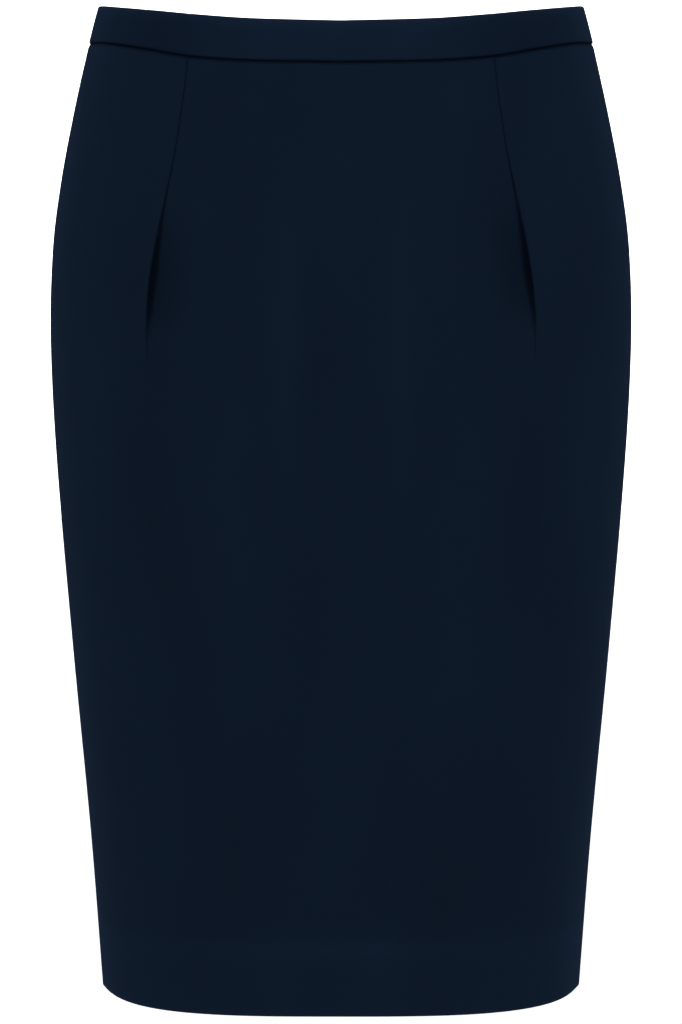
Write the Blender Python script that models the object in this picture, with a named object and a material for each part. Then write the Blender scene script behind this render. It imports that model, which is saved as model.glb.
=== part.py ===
"""A knee-length pencil skirt, filled out as if worn and open at the waist and the hem.

A front panel with two released darts, two back panels with a dart each, a centre-back seam
with a concealed zip above and a walking vent below, and a narrow waistband in three pieces.
Sizes are in millimetres and become metres when a mesh is made. +Z is up and the front faces
-Y. The origin is the middle of the waist opening, at the waistband's mean mid-height. Left
and right are the wearer's, so left is +X.
"""

import math

import bmesh
import bpy
from mathutils import Matrix, Vector

MM = 0.001
TOLERANCE = 0.01

# Levels at the side seams.
TOP_LEVEL = 18.0
WAIST_SEAM_LEVEL = -5.5
HEM_LEVEL = -594.0

# How much lower the top edge and the waist seam run than at the side seams, by the angle
# from centre front or centre back. The front's seam bends at the darts.
DIP_COLUMNS = ("degrees", "top", "seam")
DIPS = {
    "front": (
        (0.0, 11.8, 13.5),
        (20.0, 10.3, 12.4),
        (33.0, 7.7, 9.8),
        (45.0, 4.8, 5.0),
        (60.0, 2.1, 1.0),
        (75.0, 0.5, 0.0),
        (90.0, 0.0, 0.0),
    ),
    "back": (
        (0.0, 10.0, 10.0),
        (30.0, 7.5, 7.5),
        (60.0, 2.5, 2.5),
        (90.0, 0.0, 0.0),
    ),
}
DIP_ENDS = -260.0

# Horizontal sections of the outer face of the cloth. Each half is a superellipse, whose
# power is 2 for an ellipse and more for a squarer shape, narrowed towards the centre line
# by the taper.
SECTION_COLUMNS = ("level", "half_width", "front", "back", "front_power", "back_power", "taper")
SECTIONS = (
    (18.0, 150.0, 103.0, 97.0, 2.45, 2.30, 0.00),
    (-12.0, 157.5, 108.0, 103.0, 2.45, 2.30, 0.00),
    (-50.0, 165.9, 112.0, 111.5, 2.45, 2.30, 0.00),
    (-90.0, 173.7, 115.5, 120.5, 2.45, 2.30, 0.01),
    (-130.0, 178.9, 117.5, 127.5, 2.50, 2.30, 0.01),
    (-185.0, 180.8, 119.0, 131.5, 2.50, 2.30, 0.02),
    (-260.0, 177.6, 119.0, 129.0, 2.60, 2.35, 0.04),
    (-380.0, 167.8, 117.5, 120.0, 2.85, 2.50, 0.08),
    (-500.0, 156.8, 116.5, 114.5, 3.10, 2.65, 0.12),
    (-594.0, 149.8, 116.5, 112.5, 3.25, 2.80, 0.15),
)

# The front darts are sewn at the top and open into a soft tuck lower down. X is the dart
# line's distance from centre front, lip is how far its outer side stands proud and valley
# how far its centre side sinks.
DART_COLUMNS = ("level", "x", "lip", "valley")
FRONT_DART = (
    (-5.5, 92.4, 0.0, 0.2),
    (-32.0, 95.5, 0.1, 0.3),
    (-63.5, 100.3, 0.2, 0.6),
    (-88.5, 105.3, 0.4, 1.2),
    (-104.0, 108.3, 0.7, 2.2),
    (-126.5, 112.4, 1.1, 4.2),
    (-152.0, 116.2, 1.2, 4.6),
    (-168.0, 117.2, 1.0, 3.8),
    (-183.0, 117.6, 0.5, 2.2),
    (-200.0, 117.9, 0.2, 0.9),
    (-216.0, 118.0, 0.0, 0.0),
)
LIP_REACH = 26.0
VALLEY_REACH = 36.0
VALLEY_POWER = 1.3
TUCK_EDGE = 0.5
TUCK_LAYERS = 4.0

BACK_DART_DEGREES = 24.0
BACK_DART_LENGTH = 125.0
BACK_DART_DEPTH = 0.8
BACK_DART_REACH = 5.0

WALL = 1.2
BAND_WALL = 2.0
HEM_WALL = 2.4
HEM_ALLOWANCE = 45.0
HEM_STEP = 1.0
GAP = 0.3

ZIP_GAP = 1.6
ZIP_END = -200.0
ZIP_GAP_CLOSES = 12.0
TAPE_WALL = 0.8
TAPE_CLEARANCE = 0.5
TAPE_WIDTH = 12.0
TAPE_STEP_BELOW_SEAM = 2.0
TAPE_STEP = 14.0
TAPE_BELOW_ZIP = 15.0
TAPE_BELOW_TOP = 1.5
NOTCH_BELOW_SLIDER = 1.5
NOTCH_BESIDE_PLATE = 0.5
TAPE_ROWS = 12

VENT_LENGTH = 170.0
VENT_DEPTH = 3.2
VENT_RAMP = 30.0
VENT_FOLD = 8.0
UNDERLAP = 42.0
# Column places, as shares of the underlap's width: on the panels, and on the underlap.
PANEL_UNDERLAP_PARTS = (1.0, 0.6, 0.25)
UNDERLAP_PARTS = (0.25, 0.6, 1.0)
BACK_COLUMNS_BEFORE_DART = 7

BAND_ROWS = 4
FRONT_BAND_COLUMNS = 27
BACK_BAND_COLUMNS = 13
UPPER_ROWS = 12
UPPER_ROWS_END = -230.0
LOWER_ROWS = 8

SLIDER = {"half_width": 2.4, "half_length": 5.0, "low": 0.3, "high": 1.6}
NECK = {"half_width": 0.5, "half_length": 4.0}
INNER_PLATE = {"half_width": 3.1, "thickness": 2.0, "sunk": 0.35}
ARCH = {"half_width": 0.8, "half_length": 3.2, "high": 4.2}
ARCH_HOLE = {"half_length": 1.2, "low": 1.6, "high": 3.4}
SLIDER_BELOW_TOP = 6.5
JOIN = 0.2
PULL_PIVOT = 2.5
PULL_THICKNESS = 0.8
PULL_LENGTH = 25.0
PULL_BAR = 0.8
PULL_HOLE = {"half_width": 1.2, "length": 4.4}
PULL_END_STEPS = 4
# The pull tab's outline: how far below its pivot, and its half width there.
PULL_OUTLINE = ((-0.4, 2.0), (0.6, 2.3), (5.2, 2.2), (9.0, 1.7), (18.0, 2.7), (22.5, 2.6))

SHARP_DEGREES = 40.0
HALVINGS = 40

NAVY = (0.0052, 0.0103, 0.0222)
TAPE_NAVY = (0.0045, 0.0080, 0.0165)
ENAMEL_NAVY = (0.0060, 0.0100, 0.0200)


def material(name, colour, roughness, metallic=0.0):
    made = bpy.data.materials.new(name)
    made.use_nodes = True
    shader = made.node_tree.nodes["Principled BSDF"]
    shader.inputs["Base Color"].default_value = (*colour, 1.0)
    shader.inputs["Roughness"].default_value = roughness
    shader.inputs["Metallic"].default_value = metallic
    return made


def read_table(rows, columns, name, level):
    """A smooth curve through one column of a table whose first column is the level."""
    k = columns.index(name)
    levels = [row[0] for row in rows]
    values = [row[k] for row in rows]
    down = levels[0] > levels[-1]
    if (level > levels[0]) == down:
        return values[0]
    if (level < levels[-1]) == down:
        return values[-1]
    slopes = []
    for i in range(len(rows)):
        before, after = max(i - 1, 0), min(i + 1, len(rows) - 1)
        slopes.append((values[after] - values[before]) / (levels[after] - levels[before]))
    for i in range(len(rows) - 1):
        span = levels[i + 1] - levels[i]
        part = (level - levels[i]) / span
        if 0.0 <= part <= 1.0:
            break
    square, cube = part**2, part**3
    return (
        (2 * cube - 3 * square + 1) * values[i]
        + (cube - 2 * square + part) * span * slopes[i]
        + (3 * square - 2 * cube) * values[i + 1]
        + (cube - square) * span * slopes[i + 1]
    )


def ease(part):
    """0 to 1 with level ends."""
    part = min(max(part, 0.0), 1.0)
    return part * part * (3.0 - 2.0 * part)


def side_of(degrees):
    """Whether an angle from centre front lies on the front or on the back."""
    return "front" if abs(degrees) <= 90.0 else "back"


def section_point(level, degrees, sunk=0.0, half=None):
    """A point of the section at this level, moved inwards by sunk.

    Degrees run from 0 at centre front through 90 at the left side seam to 180 at centre
    back. The front and back halves stand GAP apart at the side seams.
    """
    half = half or side_of(degrees)
    width = read_table(SECTIONS, SECTION_COLUMNS, "half_width", level)
    depth = read_table(SECTIONS, SECTION_COLUMNS, half, level)
    power = read_table(SECTIONS, SECTION_COLUMNS, f"{half}_power", level)
    taper = read_table(SECTIONS, SECTION_COLUMNS, "taper", level)
    across, along = math.sin(math.radians(degrees)), -math.cos(math.radians(degrees))
    reach = (abs(across) ** power + abs(along) ** power) ** (-1.0 / power)
    x, y = reach * across, reach * along
    outward = Vector((
        math.copysign(abs(x) ** (power - 1.0) / width, x),
        math.copysign(abs(y) ** (power - 1.0) / depth, y),
        0.0,
    )).normalized()
    apart = -GAP / 2 if half == "front" else GAP / 2
    narrowed = x * width * (1.0 - taper * abs(y))
    return Vector((narrowed, y * depth + apart, level)) - outward * sunk


def dip_at(degrees, line):
    """How far the top edge or the waist seam has dipped at this angle."""
    half = side_of(degrees)
    from_centre = abs(degrees) if half == "front" else 180.0 - abs(degrees)
    return read_table(DIPS[half], DIP_COLUMNS, line, from_centre)


def top_level(degrees):
    return TOP_LEVEL - dip_at(degrees, "top")


def seam_level(degrees):
    return WAIST_SEAM_LEVEL - dip_at(degrees, "seam")


def panel_level(level, degrees):
    """A panel row's level: the dip of the waist seam fades out down the panel."""
    left = 1.0 - ease((WAIST_SEAM_LEVEL - level) / (WAIST_SEAM_LEVEL - DIP_ENDS))
    return level - dip_at(degrees, "seam") * left


def degrees_at(level, x, half):
    """The angle on the left half at which the section stands x from the middle."""
    low, high = (0.0, 90.0) if half == "front" else (180.0, 90.0)
    for _ in range(HALVINGS):
        middle = (low + high) / 2
        if section_point(level, middle, half=half).x < x:
            low = middle
        else:
            high = middle
    return (low + high) / 2


def spread(first, last, count):
    """Evenly spaced numbers, both ends included."""
    return [first + (last - first) * i / (count - 1) for i in range(count)]


def shell(name, outer, inner, cloth, present=None):
    """A closed wall between two grids of points of the same shape.

    Present says which cells exist, and every cell does if it is left out.
    """
    mesh = bmesh.new()
    height, width = len(outer), len(outer[0])
    cells = [
        (r, c)
        for r in range(height - 1)
        for c in range(width - 1)
        if present is None or present(r, c)
    ]
    corners = ((0, 0), (0, 1), (1, 1), (1, 0))
    used = sorted({(r + dr, c + dc) for r, c in cells for dr, dc in corners})
    faces = {}
    for key, grid in (("outer", outer), ("inner", inner)):
        faces[key] = {rc: mesh.verts.new(grid[rc[0]][rc[1]] * MM) for rc in used}
    edges = {}
    for r, c in cells:
        ring = [(r + dr, c + dc) for dr, dc in corners]
        mesh.faces.new([faces["outer"][rc] for rc in ring])
        mesh.faces.new([faces["inner"][rc] for rc in reversed(ring)])
        for one, two in zip(ring, ring[1:] + ring[:1]):
            edges.setdefault(frozenset((one, two)), []).append((one, two))
    for found in edges.values():
        if len(found) == 1:
            one, two = found[0]
            mesh.faces.new([
                faces["outer"][two],
                faces["outer"][one],
                faces["inner"][one],
                faces["inner"][two],
            ])
    return finish(name, mesh, cloth)


def finish(name, mesh, cloth):
    """Turns a closed bmesh into an object with outward faces and smooth shading."""
    bmesh.ops.recalc_face_normals(mesh, faces=mesh.faces)
    data = bpy.data.meshes.new(name)
    mesh.to_mesh(data)
    mesh.free()
    data.shade_smooth()
    data.set_sharp_from_angle(angle=math.radians(SHARP_DEGREES))
    data.materials.append(cloth)
    made = bpy.data.objects.new(name, data)
    bpy.context.scene.collection.objects.link(made)
    return made


def panel_rows():
    """Row levels at the side seams, close together over the darts and at the hem's step."""
    turned = HEM_LEVEL + HEM_ALLOWANCE
    upper = spread(WAIST_SEAM_LEVEL - GAP / 2, UPPER_ROWS_END, UPPER_ROWS)
    lower = spread(upper[-1], turned + HEM_STEP, LOWER_ROWS)
    return upper + lower[1:] + [turned, HEM_LEVEL]


def wall_at(level):
    """The cloth's thickness, doubled where the hem is turned up."""
    return HEM_WALL if level <= HEM_LEVEL + HEM_ALLOWANCE else WALL


def front_dart_x(level):
    """The dart line's distance from the middle. Past its end it keeps its share of the width."""
    end = FRONT_DART[-1][0]
    x = read_table(FRONT_DART, DART_COLUMNS, "x", level)
    if level >= end:
        return x
    here = read_table(SECTIONS, SECTION_COLUMNS, "half_width", level)
    return x * here / read_table(SECTIONS, SECTION_COLUMNS, "half_width", end)


def front_panel(cloth):
    """Centre columns up to the dart line, the tuck's two edges, and side columns."""
    centre_parts = (0.0, 0.22, 0.44, 0.62, 0.74, 0.84, 0.93)
    side_parts = (0.1, 0.22, 0.38, 0.56, 0.74, 0.88, 1.0)
    inward_reach = 1.0 / VALLEY_REACH
    outward_reach = 1.0 / LIP_REACH

    def half_row(level, shift, thickness):
        """From centre front to the left side seam, with the dart line moved out by shift."""
        row = []
        line_x = front_dart_x(level) + shift
        lip_x = line_x + TUCK_EDGE
        lip = read_table(FRONT_DART, DART_COLUMNS, "lip", level)
        valley = read_table(FRONT_DART, DART_COLUMNS, "valley", level)
        line = degrees_at(level, line_x, "front")
        beyond = degrees_at(level, lip_x, "front")
        stations = [(part * line, "centre") for part in centre_parts]
        stations += [(line, "centre"), (beyond, "side")]
        stations += [(beyond + part * (90.0 - beyond), "side") for part in side_parts]
        for degrees, part in stations:
            here = panel_level(level, degrees)
            flat = section_point(here, degrees, half="front")
            if part == "centre":
                rise = ease((line_x - flat.x) * inward_reach)
                sunk = valley * (1.0 - rise) ** VALLEY_POWER
            else:
                sunk = -lip * (1.0 - ease((flat.x - lip_x) * outward_reach))
            row.append(section_point(here, degrees, sunk + thickness, "front"))
        return row

    def grid(shift, walled):
        found = []
        for level in panel_rows():
            left = half_row(level, shift, wall_at(level) if walled else 0.0)
            found.append(mirrored([left[:0:-1]])[0] + left)
        return found

    return shell("front_panel", grid(0.0, False), grid(TUCK_LAYERS, True), cloth)


def zip_gap(level):
    """The gap between the edges at centre back: wide along the zip, a seam below it."""
    closing = ease((ZIP_END - level) / ZIP_GAP_CLOSES)
    return ZIP_GAP + (GAP - ZIP_GAP) * closing


def back_degrees(level, edge_x):
    """Column angles from the side seam to the edge at centre back."""
    edge = degrees_at(level, edge_x, "back")
    dart = 180.0 - BACK_DART_DEGREES
    groove = math.degrees(BACK_DART_REACH / read_table(SECTIONS, SECTION_COLUMNS, "half_width", level))
    before = spread(90.0, dart - groove, BACK_COLUMNS_BEFORE_DART)
    after = [degrees_at(level, UNDERLAP * part, "back") for part in PANEL_UNDERLAP_PARTS]
    return before + [dart, dart + groove] + after + [edge]


def back_sunk(level, degrees):
    """The groove along the back dart, which fades out at its point."""
    run = (WAIST_SEAM_LEVEL - level) / BACK_DART_LENGTH
    if not 0.0 <= run <= 1.0:
        return 0.0
    on_line = abs(degrees - (180.0 - BACK_DART_DEGREES)) < TOLERANCE
    return BACK_DART_DEPTH * (1.0 - run) if on_line else 0.0


def vent_sunk(level, x):
    """How far the right panel sinks near centre back, to pass under the left one."""
    top = HEM_LEVEL + VENT_LENGTH
    deep = VENT_DEPTH * ease((top + VENT_RAMP - level) / VENT_RAMP)
    return deep * ease((x + VENT_FOLD) / VENT_FOLD)


def back_panel_left(cloth):
    def grid(walled):
        found = []
        for level in panel_rows():
            row = []
            for degrees in back_degrees(level, zip_gap(level) / 2):
                sunk = back_sunk(level, degrees) + (wall_at(level) if walled else 0.0)
                row.append(section_point(panel_level(level, degrees), degrees, sunk, "back"))
            found.append(row)
        return found

    return shell("back_panel_left", grid(False), grid(True), cloth)


def back_panel_right(cloth):
    """The left panel's mirror, with the vent's underlap cut in one with it."""
    rows = sorted(panel_rows() + [HEM_LEVEL + VENT_LENGTH], reverse=True)
    own = len(back_degrees(HEM_LEVEL, GAP / 2))

    def grid(walled):
        found = []
        for level in rows:
            wall = wall_at(level) if walled else 0.0
            row = []
            for degrees in back_degrees(level, zip_gap(level) / 2):
                here = panel_level(level, degrees)
                flat = section_point(here, degrees, half="back")
                sunk = back_sunk(level, degrees) + vent_sunk(level, -flat.x) + wall
                row.append(section_point(here, degrees, sunk, "back"))
            row = mirrored([row])[0]
            for part in UNDERLAP_PARTS:
                degrees = degrees_at(level, UNDERLAP * part, "back")
                here = panel_level(level, degrees)
                sunk = vent_sunk(level, UNDERLAP * part) + wall
                row.append(section_point(here, degrees, sunk, "back"))
            found.append(row)
        return found

    def present(r, c):
        return c < own - 1 or rows[r] <= HEM_LEVEL + VENT_LENGTH + TOLERANCE

    return shell("back_panel_right", grid(False), grid(True), cloth, present)


def mirrored(grid):
    return [[Vector((-p.x, p.y, p.z)) for p in row] for row in grid]


def band_grid(half, angles, sunk):
    """The points of a stretch of the waistband, from its top edge to the waist seam."""
    found = []
    for part in spread(0.0, 1.0, BAND_ROWS + 1):
        row = []
        for degrees in angles:
            top = top_level(degrees)
            seam = seam_level(degrees) + GAP / 2
            row.append(section_point(top + (seam - top) * part, degrees, sunk, half))
        found.append(row)
    return found


def waistbands(cloth):
    """The front piece, and two back pieces that stop at the zip."""
    front = spread(-90.0, 90.0, FRONT_BAND_COLUMNS)
    shell("waistband_front", *(band_grid("front", front, t) for t in (0.0, BAND_WALL)), cloth)
    back = spread(90.0, degrees_at(TOP_LEVEL, ZIP_GAP / 2, "back"), BACK_BAND_COLUMNS)
    left = [band_grid("back", back, t) for t in (0.0, BAND_WALL)]
    shell("waistband_back_left", *left, cloth)
    shell("waistband_back_right", *map(mirrored, left), cloth)


def tape_depth(level):
    """How far the tape's outer face lies inside the cloth's outer face."""
    below = ease((seam_level(180.0) - TAPE_STEP_BELOW_SEAM - level) / TAPE_STEP)
    return BAND_WALL + TAPE_CLEARANCE + (WALL - BAND_WALL) * below


def zip_tape(name, side, cloth):
    """A flat tape along the zip, notched at its top for the slider's inner plate."""
    top = top_level(180.0)
    notch = top - SLIDER_BELOW_TOP - SLIDER["half_length"] - NOTCH_BELOW_SLIDER
    rows = [top - TAPE_BELOW_TOP, (top + notch) / 2, notch]
    rows += spread(notch, ZIP_END - TAPE_BELOW_ZIP, TAPE_ROWS)[1:]
    stations = (GAP / 2, INNER_PLATE["half_width"] + NOTCH_BESIDE_PLATE, TAPE_WIDTH)

    def grid(extra):
        found = []
        for level in rows:
            row = []
            for x in stations:
                degrees = degrees_at(level, x, "back")
                p = section_point(level, degrees, tape_depth(level) + extra, "back")
                row.append(Vector((side * p.x, p.y, p.z)))
            found.append(row)
        return found

    def present(r, c):
        return c > 0 or rows[r] <= notch + TOLERANCE

    return shell(name, grid(0.0), grid(TAPE_WALL), cloth, present)


def box_mesh(x, y, z):
    """A box between two limits on each axis."""
    mesh = bmesh.new()
    bmesh.ops.create_cube(mesh, size=1.0)
    size = Vector((x[1] - x[0], y[1] - y[0], z[1] - z[0])) * MM
    middle = Vector((x[0] + x[1], y[0] + y[1], z[0] + z[1])) * (MM / 2)
    bmesh.ops.transform(
        mesh, matrix=Matrix.Translation(middle) @ Matrix.Diagonal(size).to_4x4(), verts=mesh.verts
    )
    return mesh


def cut_or_join(target, mesh, operation):
    """Cuts a mesh from the target or joins it on."""
    helper = finish(f"{target.name}_{operation.lower()}_{len(target.modifiers)}", mesh, None)
    helper.hide_render = True
    helper.display_type = "WIRE"
    helper.parent = target.parent
    change = target.modifiers.new(operation.title(), "BOOLEAN")
    change.operation = operation
    change.object = helper
    change.solver = "EXACT"


def zip_place():
    """An empty on the band's outer face at centre back, with its Z up along the band."""
    level = top_level(180.0) - SLIDER_BELOW_TOP
    reach = SLIDER["half_length"]
    high = section_point(level + reach, 180.0, half="back")
    low = section_point(level - reach, 180.0, half="back")
    place = bpy.data.objects.new("zip_place", None)
    place.location = (high + low) * (MM / 2)
    place.rotation_euler = (math.atan2(low.y - high.y, high.z - low.z), 0.0, 0.0)
    bpy.context.scene.collection.objects.link(place)
    return place


def symmetric(half):
    return (-half, half)


def zip_slider(place, metal):
    """A crown outside, an arch on it for the pull, a neck through the gap and a plate inside."""
    s, n, p, a, h = SLIDER, NECK, INNER_PLATE, ARCH, ARCH_HOLE
    plate_out = -BAND_WALL - p["sunk"]
    crown = box_mesh(
        symmetric(s["half_width"]), (s["low"], s["high"]), symmetric(s["half_length"])
    )
    slider = finish("zip_slider", crown, metal)
    slider.parent = place
    neck = box_mesh(
        symmetric(n["half_width"]), (plate_out - JOIN, s["low"] + JOIN), symmetric(n["half_length"])
    )
    plate = box_mesh(
        symmetric(p["half_width"]),
        (plate_out - p["thickness"], plate_out),
        symmetric(s["half_length"]),
    )
    arch = box_mesh(
        symmetric(a["half_width"]), (s["high"] - JOIN, a["high"]), symmetric(a["half_length"])
    )
    hole = box_mesh(
        symmetric(a["half_width"] * 2), (h["low"], h["high"]), symmetric(h["half_length"])
    )
    for mesh in (neck, plate, arch):
        cut_or_join(slider, mesh, "UNION")
    cut_or_join(slider, hole, "DIFFERENCE")
    return slider


def zip_pull_tab(place, metal):
    """A flat drop-shaped tab, whose origin is on its hinge axis."""
    outline = [(half, -below) for below, half in PULL_OUTLINE]
    last_below, last_half = PULL_OUTLINE[-1]
    end = PULL_LENGTH - last_below
    for i in range(1, PULL_END_STEPS):
        turn = math.radians(90.0 * i / PULL_END_STEPS)
        outline.append((last_half * math.cos(turn), -last_below - end * math.sin(turn)))
    outline += [(0.0, -PULL_LENGTH)] + [(-x, z) for x, z in reversed(outline)]
    mesh = bmesh.new()
    back, front = (
        [mesh.verts.new(Vector((x, y, z)) * MM) for x, z in outline]
        for y in (-PULL_THICKNESS / 2, PULL_THICKNESS / 2)
    )
    mesh.faces.new(back)
    mesh.faces.new(front)
    for i in range(len(outline)):
        j = (i + 1) % len(outline)
        mesh.faces.new((back[i], back[j], front[j], front[i]))
    tab = finish("zip_pull_tab", mesh, metal)
    hinge = bpy.data.objects.new("zip_hinge", None)
    hinge.location = (0.0, PULL_PIVOT * MM, 0.0)
    hinge.parent = place
    bpy.context.scene.collection.objects.link(hinge)
    tab.parent = hinge
    hole = box_mesh(
        symmetric(PULL_HOLE["half_width"]),
        symmetric(PULL_THICKNESS),
        (-PULL_BAR / 2 - PULL_HOLE["length"], -PULL_BAR / 2),
    )
    cut_or_join(tab, hole, "DIFFERENCE")
    return tab


def main():
    for thing in list(bpy.data.objects):
        bpy.data.objects.remove(thing)
    cloth = material("suiting_cloth", NAVY, 0.85)
    tape = material("zip_tape", TAPE_NAVY, 0.8)
    metal = material("zip_metal", ENAMEL_NAVY, 0.35, metallic=0.6)
    front_panel(cloth)
    back_panel_left(cloth)
    back_panel_right(cloth)
    waistbands(cloth)
    zip_tape("zip_tape_left", 1, tape)
    zip_tape("zip_tape_right", -1, tape)
    place = zip_place()
    zip_slider(place, metal)
    zip_pull_tab(place, metal)


main()
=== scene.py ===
"""The looks of the pencil skirt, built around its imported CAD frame.

Sizes are in millimetres and become metres when a mesh is made. +Z is up, the front faces -Y,
and left is the wearer's, so left is +X. Distances across a panel run along the cloth.
"""

import math

import bmesh
import bpy
import numpy as np
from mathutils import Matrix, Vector


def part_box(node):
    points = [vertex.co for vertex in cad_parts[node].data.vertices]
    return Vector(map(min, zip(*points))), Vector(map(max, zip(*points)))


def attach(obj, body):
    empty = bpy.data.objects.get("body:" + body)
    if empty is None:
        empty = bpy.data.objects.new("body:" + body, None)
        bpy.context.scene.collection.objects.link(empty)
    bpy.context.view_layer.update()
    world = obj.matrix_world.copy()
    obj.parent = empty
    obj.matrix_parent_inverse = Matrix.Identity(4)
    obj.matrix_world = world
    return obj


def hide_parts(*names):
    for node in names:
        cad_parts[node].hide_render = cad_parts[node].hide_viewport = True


MM = 0.001

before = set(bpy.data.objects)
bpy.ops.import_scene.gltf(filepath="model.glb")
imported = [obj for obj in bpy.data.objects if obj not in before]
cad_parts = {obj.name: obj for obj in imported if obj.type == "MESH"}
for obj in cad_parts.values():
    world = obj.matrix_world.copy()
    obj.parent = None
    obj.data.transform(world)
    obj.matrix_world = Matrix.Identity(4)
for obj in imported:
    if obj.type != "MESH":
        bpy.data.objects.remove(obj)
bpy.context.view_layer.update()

# Levels at the side seams. The frame gives the top edge and the hem.
TOP_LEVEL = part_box("waistband_front")[1].z / MM
HEM_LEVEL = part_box("front_panel")[0].z / MM
WAIST_SEAM_LEVEL = TOP_LEVEL - 23.5

# How much lower the top edge and the waist seam run than at the side seams, by the angle
# from centre front or centre back.
DIP_COLUMNS = ("degrees", "top", "seam")
DIPS = {
    "front": (
        (0, 11.8, 13.5),
        (20, 10.3, 12.4),
        (33, 7.7, 9.8),
        (45, 4.8, 5),
        (60, 2.1, 1),
        (75, 0.5, 0),
        (90, 0, 0),
    ),
    "back": (
        (0, 10, 10),
        (30, 7.5, 7.5),
        (60, 2.5, 2.5),
        (90, 0, 0),
    ),
}
DIP_ENDS = -260.0

# The outer face of the cloth, as in the CAD: superellipses narrowed towards the centre line.
SECTION_COLUMNS = ("level", "half_width", "front", "back", "front_power", "back_power", "taper")
SECTIONS = (
    (18, 150, 103, 97, 2.45, 2.30, 0),
    (-12, 157.5, 108, 103, 2.45, 2.30, 0),
    (-50, 165.9, 112, 111.5, 2.45, 2.30, 0),
    (-90, 173.7, 115.5, 120.5, 2.45, 2.30, 0.01),
    (-130, 178.9, 117.5, 127.5, 2.50, 2.30, 0.01),
    (-185, 180.8, 119, 131.5, 2.50, 2.30, 0.02),
    (-260, 177.6, 119, 129, 2.60, 2.35, 0.04),
    (-380, 167.8, 117.5, 120, 2.85, 2.50, 0.08),
    (-500, 156.8, 116.5, 114.5, 3.10, 2.65, 0.12),
    (-594, 149.8, 116.5, 112.5, 3.25, 2.80, 0.15),
)

# The front darts: sewn at the top, then open into a tuck that fades out. Lip is how far the
# side's folded edge stands proud, valley how far the centre's cloth sinks beside it, and
# open how far the fold has let go of its stitches.
DART_COLUMNS = ("level", "x", "lip", "valley", "open")
FRONT_DARTS = {
    "left": (
        (-5.5, 92.4, 0, 0.2, 0),
        (-32, 95.5, 0.1, 0.3, 0),
        (-63.5, 100.3, 0.2, 0.6, 0),
        (-84, 104.4, 0.3, 1, 0),
        (-100, 107.5, 0.5, 1.8, 0.1),
        (-122, 111.6, 0.9, 3.5, 0.55),
        (-144, 115, 1.1, 4.5, 0.9),
        (-157, 116.5, 0.8, 3.6, 0.6),
        (-167, 117.1, 0.4, 2.3, 0.3),
        (-180, 117.5, 0.1, 1, 0.05),
        (-202, 117.9, 0, 0.4, 0),
        (-232, 118, 0, 0.1, 0),
        (-255, 118, 0, 0, 0),
    ),
    "right": (
        (-5.5, 92.4, 0, 0.2, 0),
        (-32, 95.5, 0.1, 0.3, 0),
        (-63.5, 100.3, 0.2, 0.6, 0),
        (-88.5, 105.3, 0.3, 1, 0),
        (-104, 108.3, 0.5, 1.8, 0.1),
        (-126.5, 112.4, 0.9, 3.5, 0.55),
        (-149, 115.9, 1.1, 4.6, 0.9),
        (-162, 116.9, 0.8, 3.8, 0.6),
        (-172, 117.3, 0.45, 2.5, 0.3),
        (-184, 117.7, 0.15, 1.1, 0.05),
        (-206, 117.9, 0, 0.4, 0),
        (-236, 118, 0, 0.1, 0),
        (-258, 118, 0, 0, 0),
    ),
}
DART_END = -216.0
LIP_REACH = 26.0
VALLEY_REACH = 36.0
VALLEY_POWER = 1.3

# The cloth across the dart line. Sewn is the small groove of a closed seam, and open is the
# tuck, where the centre's cloth runs in under the side's folded edge. Across is the distance
# from the dart line, out the height above the valley or, on the side's part, above the lip.
FOLD_COLUMNS = ("sewn_across", "groove", "open_across", "out", "side_part")
FOLD = (
    (-6, 0, -6, 0, 0),
    (-4.2, 0, -4, 0, 0),
    (-2.8, 0.06, -2.4, 0, 0),
    (-1.7, 0.22, -1, 0, 0),
    (-0.95, 0.50, 0.3, -0.05, 0),
    (-0.50, 0.78, 1.6, -0.10, 0),
    (-0.22, 0.95, 2.7, -0.05, 0),
    (-0.10, 1, 3.2, 0.25, 0),
    (-0.02, 1, 2.9, -0.75, 1),
    (0.06, 0.98, 1.9, -1.15, 1),
    (0.14, 0.92, 0.8, -1.20, 1),
    (0.24, 0.84, 0.05, -1, 1),
    (0.38, 0.72, -0.25, -0.62, 1),
    (0.56, 0.58, -0.05, -0.22, 1),
    (0.90, 0.38, 0.55, 0, 1),
    (1.6, 0.16, 1.6, 0.03, 1),
    (2.8, 0.04, 2.8, 0.02, 1),
    (4.2, 0, 4.2, 0, 1),
    (6, 0, 6, 0, 1),
)
FOLD_SPAN = 6.0
CREVICE_DEPTH, CREVICE_REACH = 0.9, 3.2
# How far from the dart line the painted shade beside the tuck reaches.
VALLEY_SHADE_REACH = 34.0
GROOVE = 0.62

BACK_DART_DEGREES = 24.0
BACK_DART_LENGTH = 125.0

WALL = 1.2
BAND_WALL = 2.0
HEM_WALL = 2.4
HEM_ALLOWANCE = 45.0
SEAM_GAP = 0.12

ZIP_GAP = 1.6
ZIP_END = -200.0
ZIP_GAP_CLOSES = 12.0
TAPE_WALL = 0.6
TAPE_CLEARANCE = 0.5
TAPE_WIDTH = 12.0
TAPE_BELOW_ZIP = 15.0

VENT_LENGTH = 170.0
VENT_DEPTH = 3.2
VENT_RAMP = 30.0
VENT_FOLD = 8.0
UNDERLAP = 42.0

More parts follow.
